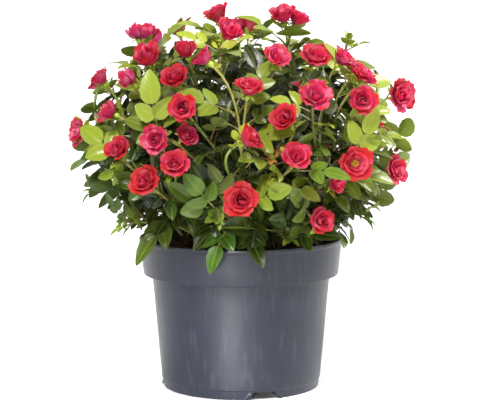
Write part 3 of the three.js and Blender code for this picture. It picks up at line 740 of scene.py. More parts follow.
for c, cane in enumerate(canes):
    for s, shoot in enumerate(cane["shoots"]):
        shares = BLOOM_SHARES if shoot["bloom"] else LEAFY_SHARES
        if shoot["bloom"] and shoot["length"] < SHORT_SHOOT:
            shares = BLOOM_SHARES[:1]
        place_row(cane, shoot, [c, s], shares, 41, 0, CAD_TRIES, LEAF_SIZES, LEAF_GAP)
main_leaves = leaf_count()
for k, bearing in enumerate(DRAPED_BEARINGS):
    drape_leaf(bearing, 900 + k)
print("draped leaves:", leaf_count() - main_leaves)
for shares, *rule in FILLER_ROUNDS:
    for c, cane in enumerate(canes):
        for s, shoot in enumerate([cane["wood"], *cane["shoots"]]):
            place_row(cane, shoot, [c, s], shares, *rule)
for cane in canes:
    for leaf in cane["leaves"]:
        corners = leaf["shoot"]["corners"]
        leaf["root"] = bezier(corners, float(even_shares(corners, leaf["share"])))
print("leaves of the first round:", main_leaves, "in all:", leaf_count())

# %% [markdown]
# ## Colours and materials
# Each material is named for what the thing is made of. A colour is given as the sRGB code that a person
# would read off a screen, and one function turns it into the linear light that a shader wants. Another
# function adds a node of any kind. A table tells it which type of Blender's the kind is, and which of the
# many sockets of that type are used here.

# %% Shader helpers
# Each kind of node: its type, the inputs that its values go to, its output or None for all, and settings
NODE_KINDS = {
    "attribute": ("ShaderNodeAttribute", (), "Vector", {}),
    "coordinates": ("ShaderNodeTexCoord", (), None, {}),
    "split": ("ShaderNodeSeparateXYZ", (0,), None, {}),
    "mapping": ("ShaderNodeMapping", ("Vector", "Scale"), 0, {}),
    "noise": ("ShaderNodeTexNoise", ("Vector", "Scale", "Detail"), 0, {}),
    "range": ("ShaderNodeMapRange", ("Value", "From Min", "From Max", "To Min", "To Max"), 0, {}),
    "math": ("ShaderNodeMath", (0, 1, 2), 0, {}),
    "mix": ("ShaderNodeMix", (0, 6, 7), 2, {"data_type": "RGBA"}),
    "bump": ("ShaderNodeBump", ("Strength", "Distance", "Height"), 0, {}),
    "surface": ("ShaderNodeBsdfPrincipled", ("Base Color", "Roughness"), 0, {}),
    "see_through": ("ShaderNodeBsdfTranslucent", ("Color",), 0, {}),
    "two_surfaces": ("ShaderNodeMixShader", (0, 1, 2), 0, {}),
}


def colour(code):
    """The linear colour of an sRGB code: ((c + 0.055) / 1.055)^2.4, or c / 12.92 for dark values."""
    parts = [int(code[k : k + 2], 16) / 255 for k in (1, 3, 5)]
    return (*[p / 12.92 if p <= 0.04045 else ((p + 0.055) / 1.055) ** 2.4 for p in parts], 1.0)


def add_node(tree, kind, *values, **settings):
    """Adds a node, sets its properties, and returns its output. Values go to the kind's inputs in turn, or
    in a dictionary to the inputs that it names, and the output of another node is linked."""
    node_type, inputs, output, fixed = NODE_KINDS[kind]
    made = tree.nodes.new(node_type)
    for key, value in {**fixed, **settings}.items():
        setattr(made, key, value)
    named = values[0] if values and isinstance(values[0], dict) else dict(zip(inputs, values))
    for key, value in named.items():
        if isinstance(value, bpy.types.NodeSocket):
            tree.links.new(value, made.inputs[key])
        else:
            made.inputs[key].default_value = value
    return made.outputs if output is None else made.outputs[output]


def new_material(name):
    """An empty material with its output node: returns the material, its tree and the output."""
    made = bpy.data.materials.new(name)
    made.use_nodes = True
    made.node_tree.nodes.clear()
    return made, made.node_tree, made.node_tree.nodes.new("ShaderNodeOutputMaterial")


def mottling(tree, size_mm, detail=2.0, stretch=(1.0, 1.0, 1.0)):
    """A pattern of soft blotches in the object's own space, of a size in millimetres, maybe stretched."""
    scale = tuple(1 / (size_mm * MM * s) for s in stretch)
    moved = add_node(tree, "mapping", add_node(tree, "coordinates")["Object"], scale)
    return add_node(tree, "noise", moved, 1.0, detail)


def parts_of(tree, attribute):
    """The three numbers of a mesh attribute."""
    return add_node(tree, "split", add_node(tree, "attribute", attribute_name=attribute))


# %% [markdown]
# The leaf's cuticle is a wax film over green tissue, so a leaf shines on top and is matt and paler below.
# Young leaves are yellow-green and old ones a deep green. Leaves deep in the crown are mixed towards
# near-black, which is painted shade. The midrib and the side veins are paler lines. A picture of a leaf
# could give them, but lines that are worked out from a point's place on the leaflet stay sharp and need no
# file. Some light comes through the blade, which is why leaves glow against the light.

# %% Leaf tissue
SIDE_VEINS = 7


def leaf_material():
    """Rose leaf: waxy cuticle over green tissue. Tone is (youth_and_painted_light, chance, depth in the
    crown). The depth sets painted shade.
    """
    made, tree, output = new_material("rose_leaf_tissue")
    tone = parts_of(tree, "tone")
    place = parts_of(tree, "place")
    old = add_node(tree, "mix", tone[1], colour("#2a5416"), colour("#70942e"))
    fresh = add_node(tree, "mix", tone[1], colour("#98a82c"), colour("#c4c842"))
    green = add_node(tree, "mix", tone[0], old, fresh)
    # Painted shade: leaves deep in the crown, and low ones more than high ones, are mixed towards near-black
    # green
    painted_crown_shade = add_node(tree, "range", tone[2], 1.0, 0.78, 0, 0.97)
    green = add_node(tree, "mix", painted_crown_shade, green, colour("#0b1807"))
    blotches = add_node(tree, "range", mottling(tree, 9), 0.4, 0.75, 0, 0.14)
    green = add_node(tree, "mix", blotches, green, colour("#8c9c3a"))
    from_rib = add_node(tree, "math", place[0], operation="ABSOLUTE")
    rib = add_node(tree, "range", from_rib, 0.03, 0.12, 0.22, 0)
    slant = add_node(tree, "math", from_rib, -0.32, place[1], operation="MULTIPLY_ADD")
    angle = add_node(tree, "math", slant, 2 * math.pi * SIDE_VEINS, operation="MULTIPLY")
    wave = add_node(tree, "math", angle, operation="SINE")
    crest = add_node(tree, "range", wave, 0.75, 1, 0, 0.05)
    off_edge = add_node(tree, "range", from_rib, 0.9, 0.6)
    veins = add_node(tree, "math", crest, off_edge, operation="MULTIPLY")
    lines = add_node(tree, "math", rib, veins, operation="MAXIMUM")
    green = add_node(tree, "mix", lines, green, colour("#b9c850"))
    under = add_node(tree, "math", place[2], 0.25, operation="MULTIPLY")
    green = add_node(tree, "mix", under, green, colour("#8fa45a"))
    inputs = {
        "Base Color": green,
        "Roughness": add_node(tree, "range", place[2], 0, 1, 0.27, 0.7),
        "Specular IOR Level": 0.42,
        "Normal": add_node(tree, "bump", 0.09, 0.3 * MM, wave),
    }
    body = add_node(tree, "surface", inputs)
    through = add_node(tree, "mix", 0.3, green, colour("#b8c62a"))
    glow = add_node(tree, "see_through", through)
    both = add_node(tree, "two_surfaces", 0.28, body, glow)
    tree.links.new(both, output.inputs[0])
    return made


leaf_paint = leaf_material()

# %% [markdown]
# The bark of a young rose shoot is green and smooth, and turns red in the sun. Old canes go brown and dull.
# One material serves all of them: each stem carries its own redness and age, which mix these colours.

# %% Green bark and young growth


def bark_material():
    """Green rose bark: a living skin, satin. Tone is (redness, age, freshness)."""
    made, tree, output = new_material("green_rose_bark")
    tone = parts_of(tree, "tone")
    up = parts_of(tree, "place")[1]
    skin = add_node(tree, "mix", tone[0], colour("#7f9642"), colour("#8e4a32"))
    skin = add_node(tree, "mix", tone[1], skin, colour("#4d4a28"))
    shaded = add_node(tree, "math", 0.75, up, operation="SUBTRACT")
    skin = add_node(tree, "mix", shaded, skin, colour("#1e260f"))
    fresh = add_node(tree, "math", tone[2], up, operation="MULTIPLY")
    skin = add_node(tree, "mix", fresh, skin, colour("#b9c93a"))
    blotches = add_node(tree, "range", mottling(tree, 5), 0.45, 0.7, 0, 0.4)
    skin = add_node(tree, "mix", blotches, skin, colour("#b3c07a"))
    tree.links.new(add_node(tree, "surface", skin, 0.45), output.inputs[0])
    return made


bark_paint = bark_material()

# %% [markdown]
# A petal is a thin, water-rich sheet whose upper skin is made of tiny cones. They trap light, which gives
# the velvet look: deep red where it is seen from above, paler at a grazing angle, and pinker on the back.
# The cones are far too fine to draw, so a little sheen stands for them. Pale pink blotches in the colour are
# painted highlights, and the inner petals are painted lighter: partly their own pink, partly painted light
# against the shade in the heart. More than half of the material is translucent, because much of the light
# that falls on a petal goes through it and makes the bloom glow.

# %% Petal tissue


def petal_material():
    """Rose petal: velvet skin over wet tissue. Tone is (inner layer, chance, pinkness of the bloom)."""
    made, tree, output = new_material("rose_petal_tissue")
    tone = parts_of(tree, "tone")
    place = parts_of(tree, "place")
    clear = add_node(tree, "mix", tone[1], colour("#d62c20"), colour("#de4434"))
    bluish = add_node(tree, "mix", tone[1], colour("#da1f72"), colour("#e84c98"))
    drift = add_node(tree, "range", mottling(tree, 7), 0.3, 0.7, -0.25, 0.25)
    towards_rim = add_node(tree, "math", place[1], drift, operation="ADD")
    share = add_node(tree, "range", towards_rim, 0.95, 0.55)
    inner = add_node(tree, "math", tone[0], 0.85, operation="MULTIPLY")
    share = add_node(tree, "math", share, inner, operation="MAXIMUM")
    back = add_node(tree, "math", place[2], 0.6, operation="MULTIPLY")
    share = add_node(tree, "math", share, back, operation="MAXIMUM")
    pinkness = add_node(tree, "range", tone[2], 0.1, 0.85, 0.15, 1)
    share = add_node(tree, "math", share, pinkness, operation="MULTIPLY")
    red = add_node(tree, "mix", share, clear, bluish)
    # Painted highlight: pale pink blotches, stronger on inner petals and on pinker blooms
    painted_highlight_strength = add_node(tree, "range", tone[2], 0.3, 1, 0.15, 0.7)
    painted_highlight_strength = add_node(tree, "math", tone[0], 0.4, painted_highlight_strength, operation="MULTIPLY_ADD")
    blotches = add_node(tree, "range", mottling(tree, 8), 0.48, 0.68)
    paler = add_node(tree, "math", blotches, painted_highlight_strength, operation="MULTIPLY")
    # Inner petals are mixed to a light pink: partly their own pinker colour, partly painted light against
    # the shade in the heart
    heart = add_node(tree, "math", tone[0], 0.4, operation="MULTIPLY")
    red = add_node(tree, "mix", heart, red, colour("#f8609a"))
    red = add_node(tree, "mix", paler, red, colour("#f6b4cc"))
    foot = add_node(tree, "range", place[1], 0.02, 0.14, 0.7, 0)
    red = add_node(tree, "mix", foot, red, colour("#f0bca0"))
    inputs = {
        "Base Color": red,
        "Roughness": 0.5,
        "Sheen Weight": 0.12,
        "Sheen Roughness": 0.4,
        "Sheen Tint": colour("#ffc4cc"),
        "Specular IOR Level": 0.3,
    }
    body = add_node(tree, "surface", inputs)
    glow = add_node(tree, "see_through", red)
    both = add_node(tree, "two_surfaces", 0.6, body, glow)
    tree.links.new(both, output.inputs[0])
    return made


def plain_material(name, code, roughness):
    """One colour and one roughness, softly mottled."""
    made, tree, output = new_material(name)
    spots = add_node(tree, "range", mottling(tree, 2, 3), 0.35, 0.7, 0, 0.5)
    tint = add_node(tree, "mix", spots, colour(code), colour("#ffffff"), blend_type="SOFT_LIGHT")
    tree.links.new(add_node(tree, "surface", tint, roughness), output.inputs[0])
    return made


petal_paint = petal_material()
# Young leaves: thin tissue that is still red-brown with its own sunscreen, and shiny
young_paint = plain_material("young_red_leaf", "#96602c", 0.4)
# Stamens: threads of soft tissue with dusty pollen heads, matt and yellow
stamen_paint = plain_material("pollen_yellow_stamen", "#e0b13a", 0.8)

# %% [markdown]
# ## Leaf surfaces
# A leaflet is a grid over the blade: an egg shape that is widest below its middle and runs out to a point.
# It folds up from the midrib, its tip bends down, its edge is toothed, and the fields between the veins
# bulge a little. A flat card with a picture of a leaf is the quick way, but it has no fold to catch the
# light. There are thousands of leaflets, so each has a few dozen faces, and those of the first leaves have
# more than the rest.

# %% Leaflets
BLADE_THICKNESS = 0.35
FINE_ROWS, PLAIN_ROWS, BLADE_COLUMNS = 13, 9, 5
# The blade's width is t^0.5 (1 - t)^0.72, divided by its peak at t = 0.41, and never quite nothing
FOOT_POWER, TIP_POWER, LEAST_WIDTH = 0.5, 0.72, 0.03
WIDTH_PEAK = 0.41**FOOT_POWER * 0.59**TIP_POWER
TOOTH, BULGE, CURL_POWER = 0.035, 0.009, 2.6
# From least to most, by chance: half-width, fold at the midrib, curl of the tip, tilt and twist
BLADE_HALVES, FOLDS, CURLS = (0.31, 0.39), (0.12, 0.5), (0.02, 0.2)
TILTS, TWISTS = (-0.12, 0.16), (-0.35, 0.35)


def add_leaflet(piece, leaf, at, length, turn, keys, tone, paint):
    """t runs along and u across. Aside = -u half-width(t), with teeth on the edge, and rise = fold |aside|
    + bulges between the veins - curl t^2.6 + tilt t + twist aside sqrt(t)."""
    chance = [draw(*keys, k) for k in range(6)]
    rows = FINE_ROWS if leaf["fine"] else PLAIN_ROWS
    eased = (1 - np.cos(math.pi * np.linspace(0, 1, rows))) / 2
    t, u = np.meshgrid(eased, np.linspace(-1, 1, BLADE_COLUMNS), indexing="ij")
    width = np.maximum(LEAST_WIDTH, t**FOOT_POWER * (1 - t) ** TIP_POWER / WIDTH_PEAK)
    teeth = 1 + TOOTH * (-1.0) ** np.arange(rows)[:, None] * (np.abs(u) > 0.99)
    aside = -width * teeth * u * length * between(*BLADE_HALVES, chance[0])
    waves = 3 * t - 0.9 * np.abs(u) + chance[5]
    bulge = length * BULGE * np.sin(2 * math.pi * waves)
    rise = between(*FOLDS, chance[1]) * np.abs(aside) + bulge * np.abs(u)
    rise = rise - length * between(*CURLS, chance[2]) * t**CURL_POWER
    rise = rise + length * between(*TILTS, chance[3]) * t
    rise = rise + aside * between(*TWISTS, chance[4]) * np.sqrt(t)
    grid = leaf_place(leaf, *leaflet_point(at, turn, length * t, aside), rise)
    add_sheet(piece, grid, u, t, BLADE_THICKNESS, paint, tone)


def add_stipules(piece, leaf, tone):
    """The narrow wings on both sides of the stalk's foot. They reach 0.17 length (t + 0.35 t^3 |u|), so they
    end in two points, and their half-width is 0.7 + 1.6 sqrt(t) (1 - t / 4)."""
    t, u = np.meshgrid(np.linspace(0, 1, 4), np.linspace(-1, 1, 5), indexing="ij")
    out = leaf["length"] * 0.17 * (t + 0.35 * t**3 * np.abs(u))
    off = -u * (0.7 + 1.6 * np.sqrt(t) * (1 - 0.25 * t))
    grid = leaf_place(leaf, out, off, 0.25 * np.abs(off))
    add_sheet(piece, grid, 0 * out, 0.5 + 0 * out, BLADE_THICKNESS, 0, tone)


# %% [markdown]
# A leaf's place gives its colour. Youth grows towards the shoot's end and the crown's top, and differs by
# chance.
# On the crown's right side leaves are made younger and so lighter, which is painted light. A leaf with a low
# reach lies deep in the crown and gets painted shade, less of it high up.

# %% Whole leaves
# Youth counts the height of a leaf's foot from a level, as a share of a span above it
YOUTH_LEVEL, YOUTH_SPAN = 150, 200
# The crown's radius is read between these heights
REACH_HEIGHTS = (150.0, 335.0)
STALK_SIDES, STALK_RADII = 5, (0.85, 0.42)


def leaf_tone(leaf, chance, young):
    """Youth, partly painted light, then chance, and nearness to the crown's surface for painted shade, each
    0 to 1.
    """
    high = (leaf["root"][2] - YOUTH_LEVEL) / YOUTH_SPAN
    middle = leaf["root"] + leaf["along"] * leaf["length"] * 0.6
    radius = float(crown_reach(np.clip(middle[2], *REACH_HEIGHTS)))
    reach = max(math.hypot(middle[0], middle[1]) / radius, (middle[2] - CROWN_MIDDLE) / CROWN_RISE / 0.9)
    youth_and_painted_light = 1.1 * high * leaf["share"] + 0.7 * (chance - 0.5) + 0.3 * (reach - 0.8)
    # Painted light: the last term makes leaves on the crown's right side younger, so lighter
    youth_and_painted_light += 0.3 * (chance > 0.75) * (reach > 0.85) + 0.35 * max(0.0, middle[0] / CROWN_RADIUS)
    youth_and_painted_light = 1.0 if young else min(0.5 if leaf["fine"] else 1.0, max(0.0, youth_and_painted_light))
    # The third value sets painted shade: the lower the reach, the darker the leaf, and less so high up
    return youth_and_painted_light, draw(*leaf["keys"], 29), max(0.0, min(1.0, reach + 0.19 * high - 0.04))


def add_leaf(piece, leaf, paint=0):
    """The stalk, the wings at its foot and its leaflets, which take the paint with a number."""
    chance = draw(*leaf["keys"], 28)
    tone = leaf_tone(leaf, chance, paint > 0)
    rings = 8 if leaf["fine"] else 5
    a = np.linspace(-0.5, leaflets(leaf)[-1][0] + 0.5, rings)
    stalk = leaf_place(leaf, a, 0 * a, -0.25)
    add_tube(piece, stalk, np.linspace(*STALK_RADII, rings), STALK_SIDES, 1, (0.25 + 0.5 * chance, 0, 0))
    if leaf["fine"]:
        add_stipules(piece, leaf, tone)
    for k, (at, length, turn) in enumerate(leaflets(leaf)):
        size = length * between(0.9, 1.08, draw(*leaf["keys"], 30, k)) if turn else length
        add_leaflet(piece, leaf, at + 0.6 * (turn == 0), size, turn, [*leaf["keys"], 31, k], tone, paint)


def add_young_leaves(piece, shoot, share, sizes, count, keys, paint):
    """Small leaves that have just unfolded: they stand up along the shoot's end."""
    for k in range(count):
        leaf = leaf_at(shoot, share, [*keys, k], LEAF_TURN * k + 360 * draw(*keys, 32), sizes)
        leaf["root"] = bezier(shoot["corners"], float(even_shares(shoot["corners"], share)))
        leaf["along"] = unit(leaf["along"] + slope_at(shoot["corners"], share) * 0.9)
        leaf["side"] = unit(np.cross(leaf["up"], leaf["along"]))
        leaf["up"] = np.cross(leaf["along"], leaf["side"])
        leaf["cup"] = -0.6
        add_leaf(piece, leaf, paint)


# %% [markdown]
# ## Stems
# A cane is a tapering tube with prickles, which are small thorns of bark. Each shoot is a thinner tube along
# its curve. Under a bloom it swells into the green cup of the hip, and five sepals stand off below the
# petals. A Blender curve with a bevel would draw such stems too. A circle carried along a line of points
# gives them as arrays, so they go into one mesh with their leaves.

# %% Canes, shoots and hips
SHOOT_RINGS, SHOOT_SIDES, PRICKLE_SPACING = 14, 7, 22
CANE_STEPS, CANE_SIDES, CANE_TAPER, CANE_PRICKLES = 14, 9, 0.62, 9
# The hip's outline along its bloom's axis, from the shoot's end to the foot of the petals
HIP_HEIGHTS = np.array([-6.4, -5.2, -4.2, -3.2, -2.2, -1.3, -0.7, -0.2])
HIP_RADII, HIP_SIDES = [1.05, 1.35, 2.2, 2.75, 2.85, 2.5, 2.2, 1.2], 10
SEPALS, SEPAL_LENGTH, SEPAL_HALF, SEPAL_THICKNESS = 5, 8.5, 1.9, 0.3


def add_prickles(piece, wood, radius, keys, count):
    """Thorns along a stem: each is a small cone that stands off the bark and bends a little down."""
    for k in range(count):
        share = between(0.1, 0.9, (k + draw(*keys, k, 51)) / count)
        point = bezier(wood["corners"], float(even_shares(wood["corners"], share)))
        across, over = cross_axes(slope_at(wood["corners"], share))
        turn = 2 * math.pi * draw(*keys, k, 52)
        way = across * math.cos(turn) + over * math.sin(turn)
        line = point + np.array([0.5, 1.0, 1.5, 2.0])[:, None] * radius * way
        line[:, 2] -= np.array([0, 0, 0.15, 0.45])
        add_tube(piece, line, [0.7, 0.5, 0.25, 0.04], 4, 1, (0.9, 0.2, 0))


def add_shoot(piece, shoot, keys):
    """A tube along the shoot's curve, with its foot inside the cane, and its prickles."""
    line = bezier(shoot["corners"], even_shares(shoot["corners"], np.linspace(0, 1, SHOOT_RINGS)))
    last = SHOOT_RADIUS * 0.85 if shoot["bloom"] else 0.7
    radii = np.linspace(SHOOT_RADIUS * 1.15, last, SHOOT_RINGS)
    red = between(0, 0.8, draw(*keys, 53) ** 2)
    add_tube(piece, line, radii, SHOOT_SIDES, 1, (red, 0.15, 0.25))
    add_prickles(piece, shoot, SHOOT_RADIUS, keys, int(shoot["length"] / PRICKLE_SPACING))


def add_hip(piece, bloom, key):
    """The cup under a bloom, turned round its axis, and five sepals from its rim. At t along, a sepal is
    (1 - t)^0.8 (0.75 + 0.6 t) half-widths wide, and rises by 1.6 sin(2.6 t) - 2.6 t, or 6 t^1.2 on a bud."""
    axis, base = bloom["axis"], bloom["base"]
    add_tube(piece, base + HIP_HEIGHTS[:, None] * axis, HIP_RADII, HIP_SIDES, 1, (0, 0, 1), 0.8, 1)
    across, over = cross_axes(axis)
    t, u = np.meshgrid(np.linspace(0, 1, 7), np.linspace(-1, 1, 3), indexing="ij")
    closed = max(0.0, 1 - bloom["open"] / 0.45)
    half = SEPAL_HALF * (1 - t) ** 0.8 * (0.75 + 0.6 * t) + 0.1
    out = 1.7 + SEPAL_LENGTH * between(0.78, 0.3, closed) * t
    rise = between(1.6 * np.sin(t * 2.6) - 2.6 * t, 6 * t**1.2, closed) - 0.9
    for k in range(SEPALS):
        turn = 2 * math.pi * (k + 0.3 * draw(key, k, 54)) / SEPALS
        way = across * math.cos(turn) + over * math.sin(turn)
        side = np.cross(axis, way)
        grid = base + out[..., None] * way - (u * half)[..., None] * side
        grid = grid + (rise + 0.3 * np.abs(u) * half)[..., None] * axis
        add_sheet(piece, grid, u, t, SEPAL_THICKNESS, 0, (0.75, 0.5, 1))


# %% [markdown]
# Each leafy stem becomes one mesh. Its cane is older and browner on some stems. A shoot with a bloom ends
# in a hip and one or two young leaves, and the others in a tuft of four. On about half of these the tuft
# is still red-brown, and some bear a bare hip whose petals have fallen.

# %% Leafy stems
stem_pieces = []
for c, cane in enumerate(canes):
    piece = Piece()
    line = between(cane["foot"], cane["head"], np.linspace(0, 1, CANE_STEPS)[:, None])
    radii = CANE_RADIUS * np.linspace(1, CANE_TAPER, CANE_STEPS)
    age = between(0.75, 0.1, c % 3 / 2)
    add_tube(piece, line, radii, CANE_SIDES, 1, (0.3, age, 0))
    add_prickles(piece, cane["wood"], CANE_RADIUS, [c, 70], CANE_PRICKLES)
    for s, shoot in enumerate(cane["shoots"]):
        add_shoot(piece, shoot, [c, s, 71])
        if shoot["bloom"]:
            add_hip(piece, shoot["bloom"], c * 20 + s)
            add_young_leaves(piece, shoot, 0.93, (15.0, 26.0), 1 + s % 2, [c, s, 72], 0)
            continue
        add_young_leaves(piece, shoot, 0.99, (14.0, 24.0), 4, [c, s, 73], 2 * (s % 2))
        if s % 3 == 0:
            axis = slope_at(shoot["corners"], 1)
            bare_hip = {"axis": axis, "base": shoot["corners"][3] + axis * HIP_LENGTH, "open": 0.3}
            add_hip(piece, bare_hip, c * 20 + s)
    for leaf in cane["leaves"]:
        add_leaf(piece, leaf)
    name = f"leafy_stem_{c + 1:02d}"
    paints = [leaf_paint, bark_paint, young_paint]
    stem_pieces.append(piece.finish(f"{name}_detail", [name], paints))
print("leafy stems:", len(stem_pieces), "faces:", sum(len(thing.data.polygons) for thing in stem_pieces))

# %% [markdown]
# ## Blooms
# A double bloom is petals in layers round the hip's rim. The outer petals lie nearly flat, the next ones
# are cupped, and the innermost are wrapped round the heart. One petal could be sculpted and repeated, but
# no two petals of a rose are alike. So each is a grid that follows a profile from its narrow foot to its
# broad, wavy rim, and is bent round the bloom's axis, and draws change it a little.

# %% Petals
PETAL_THICKNESS = 0.3
# Rows and columns of the grid of an outer and of an inner petal
OUTER_PETAL, INNER_PETAL = (8, 7), (6, 5)
# The depth of nicks and waves, and where along a petal its full width and its rolled corners begin
NICK_DEPTH, WAVE_DEPTH, FULL_WIDTH_AT, ROLLED_FROM = 0.05, 0.1, 0.72, 0.72


def add_petal(piece, bloom, turn, line, half, wrap, keys, tone, tip):
    """The grid is profile(t) + lift n, with n square to the profile, t along and u across. The lift is
    wrap (1 - cos(u width / wrap)) + waves + twist u t - rolled corners. The rim has a point of size tip."""
    rows, columns = OUTER_PETAL if tone[0] < 0.5 else INNER_PETAL
    t, u = np.linspace(0, 1, rows)[:, None], np.linspace(-1, 1, columns)[None, :]
    chance = [draw(*keys, k) for k in range(5)]
    point = 1 - between(0.1, 0.2, chance[0]) * tip * np.abs(u) ** between(1.1, 2.4, chance[1])
    nicks = NICK_DEPTH * np.cos(3 * math.pi * u * between(0.7, 1.3, chance[2]) + 6 * chance[3])
    reach = t * (point + nicks - 0.16 * np.abs(u) ** 3)
    profile = bezier(line, reach)
    tangent = unit(np.gradient(profile, axis=0))
    width = half * (0.26 + 0.74 * np.sin(np.minimum(1, reach / FULL_WIDTH_AT) * math.pi / 2))
    bend = u * width / wrap
    lift = wrap * (1 - np.cos(bend))
    waves = np.sin(2.6 * math.pi * u * between(0.6, 1, chance[1]) + 6 * chance[2])
    lift = lift + half * WAVE_DEPTH * waves * t**2
    lift = lift + half * between(-0.16, 0.16, chance[3]) * u * t
    rolled = np.maximum(0, t - ROLLED_FROM) * 3 * np.abs(u)
    lift = lift - half * between(0.05, 0.22, chance[4]) * rolled
    radial = profile[..., 0] - lift * tangent[..., 1]
    height = profile[..., 1] + lift * tangent[..., 0]
    aside = -wrap * np.sin(bend)
    across, over = cross_axes(bloom["axis"])
    way = across * math.cos(turn) + over * math.sin(turn)
    side = np.cross(bloom["axis"], way)
    grid = bloom["base"] + radial[..., None] * way + aside[..., None] * side
    grid = grid + height[..., None] * bloom["axis"]
    add_sheet(piece, grid, u + 0 * reach, reach, PETAL_THICKNESS, 0, tone)


def petal_line(reach, rise, flat):
    """A profile's four corners (r, h): a closed cup where flat is 0, and a spread dish where it is 1."""
    return np.array(
        [
            (0.9 + 0.1 * reach, 0.1),
            (between(0.95, 0.5, flat) * reach, between(0.1, 0.2, flat) * rise),
            (between(1.1, 0.72, flat) * reach, between(0.6, 1.05, flat) * rise),
            (between(0.82, 1.03, flat) * reach, between(1, 0.9, flat) * rise),
        ]
    )


# %% [markdown]
# The petals sit in five layers, five petals wide outside and two in the heart. A few of the flat blooms
# have lost the two inner layers and show their stamens: threads with thick yellow heads. Blooms that stand
# high or far aside get more sun, which turns red petals pink.

# %% Layers and stamens
STAMENS, STAMEN_TURN, STAMEN_SIDES = 16, 2.4, 5
# A stamen's rings: their height as a share of its length, and their radius, thickest at the head
STAMEN_STEPS = np.array([0.1, 0.8, 0.86, 1.0, 1.06])[:, None]
STAMEN_RADII = [0.14, 0.12, 0.42, 0.42, 0.1]
BARE_FROM, BARE_LAYERS = 0.95, 3


def add_stamens(piece, bloom, key):
    """Short threads in the bare heart of an open bloom, each with a thick pollen head."""
    across, over = cross_axes(bloom["axis"])
    for k in range(STAMENS):
        turn = STAMEN_TURN * k
        away = 0.5 + 0.42 * math.sqrt(k)
        way = across * math.cos(turn) + over * math.sin(turn)
        tall = bloom["depth"] * between(0.5, 0.7, draw(key, 67, k))
        line = bloom["base"] + way * away * (0.5 + STAMEN_STEPS) + bloom["axis"] * tall * STAMEN_STEPS
        add_tube(piece, line, STAMEN_RADII, STAMEN_SIDES, 1, (0, draw(key, 68, k), 0))


def petal_layers(lie):
    """Each layer: its petals, turn, reach, rise, how flat it lies, half-width, wrap and inwardness."""
    return [
        (5, 38, 1.0, 1.0, lie, between(0.45, 0.48, lie), 1.5, 0.0),
        (5, 2, 0.71, between(0.84, 1.0, lie), lie * 0.95, 0.6, 1.4, 0.25),
        (4, 20, 0.46, between(1.0, 0.98, lie), lie * 0.7, 0.72, 1.3, 0.65),
        (3, 10, 0.29, between(1.02, 1.0, lie), -0.3, 1.2, 0.9, 0.9),
        (2, 60, 0.16, between(1.0, 1.02, lie), -0.9, 1.7, 0.9, 1.0),
    ]


def add_bloom(piece, bloom, key):
    """Five petals as on the CAD's bloom, and smaller layers inside. Blooms high up and aside are pinker."""
    half, depth, flat = bloom["width"] / 2, bloom["depth"], bloom["open"]
    spin = 72 * draw(key, 11)
    sunny = (bloom["middle"][2] - 200) / 150 + 0.5 * abs(bloom["middle"][0]) / CROWN_RADIUS
    pink = min(1.0, max(0.0, 0.75 * draw(key, 60) + 0.5 * sunny - 0.2))
    tight = min(1.0, flat / 0.4)
    lie = min(1.0, max(0.0, (flat - 0.15) / 0.6))
    bare = flat >= BARE_FROM and draw(key, 69) > 0.5
    layers = petal_layers(lie)[: BARE_LAYERS if bare else None]
    for n, (count, first, reach, rise, spread, breadth, wrap, inner) in enumerate(layers):
        for p in range(count):
            size, top = 1.0, 1.0
            if n == 0:
                size, top = between(0.88, 1.06, draw(key, 12, p)), between(0.72, 1, draw(key, 13, p))
            chance = draw(key, 62, n, p)
            r = half * reach * size * between(0.86 if n else 0.96, 1.04, chance)
            h = depth * rise * top * between(0.9, 1.02, draw(key, 63, n, p))
            swing = (22 if n else 9) * (draw(key, 64, n, p) - 0.5)
            turn = math.radians(spin + first + 360 * p / count + swing)
            r_rim = r * between(0.62, 1, tight)
            loose = 0.5 * (draw(key, 61, n, p) - 0.35) * (1 - 0.6 * inner) * (1 - 0.5 * lie)
            line = petal_line(r_rim, h, spread + loose)
            tone = (inner, draw(key, 65, n, p), pink)
            bend, tip = r_rim * wrap + 0.8, between(2.2, 1, lie)
            add_petal(piece, bloom, turn, line, r * breadth + 0.7, bend, [key, 66, n, p], tone, tip)
    if bare:
        add_stamens(piece, bloom, key)


# %% [markdown]
# Blooms that grow against each other are one spray and one mesh, as they are one node in the CAD.

# %% Sprays of blooms
bloom_pieces = []
for k, spray in enumerate(bloom_sprays):
    piece = Piece()
    for n, bloom in enumerate(spray):
        add_bloom(piece, bloom, k * 4 + n)
    name = f"bloom_{k + 1:02d}"
    bloom_pieces.append(piece.finish(f"{name}_detail", [name], [petal_paint, stamen_paint]))
print("blooms:", len(bloom_pieces), "faces:", sum(len(thing.data.polygons) for thing in bloom_pieces))

# %% [markdown]
# ## Soil
# Potting soil is peat with shreds of composted bark. The ball fills the pot to a finger's breadth below the
# rim. A bumpy material alone would look like felt at its edge, so its top is a fine grid with loose crumbs
# on it. Below that the ball is a plain turned body.

# %% Peat and bark


def turned_grid(profile, sides):
    """The points and quads of a profile (r, z) turned round the Z axis. Its first and last radius are 0."""
    turn = np.linspace(0, 2 * math.pi, sides, endpoint=False)
    rings = np.stack(
        [
            profile[1:-1, None, 0] * np.cos(turn),
            profile[1:-1, None, 0] * np.sin(turn),
            profile[1:-1, None, 1] + 0 * turn,
        ],
        axis=-1,
    )
    poles = np.array([(0, 0, profile[0, 1]), (0, 0, profile[-1, 1])])
    return np.concatenate([rings.reshape(-1, 3), poles]), ring_faces(len(profile) - 2, sides)


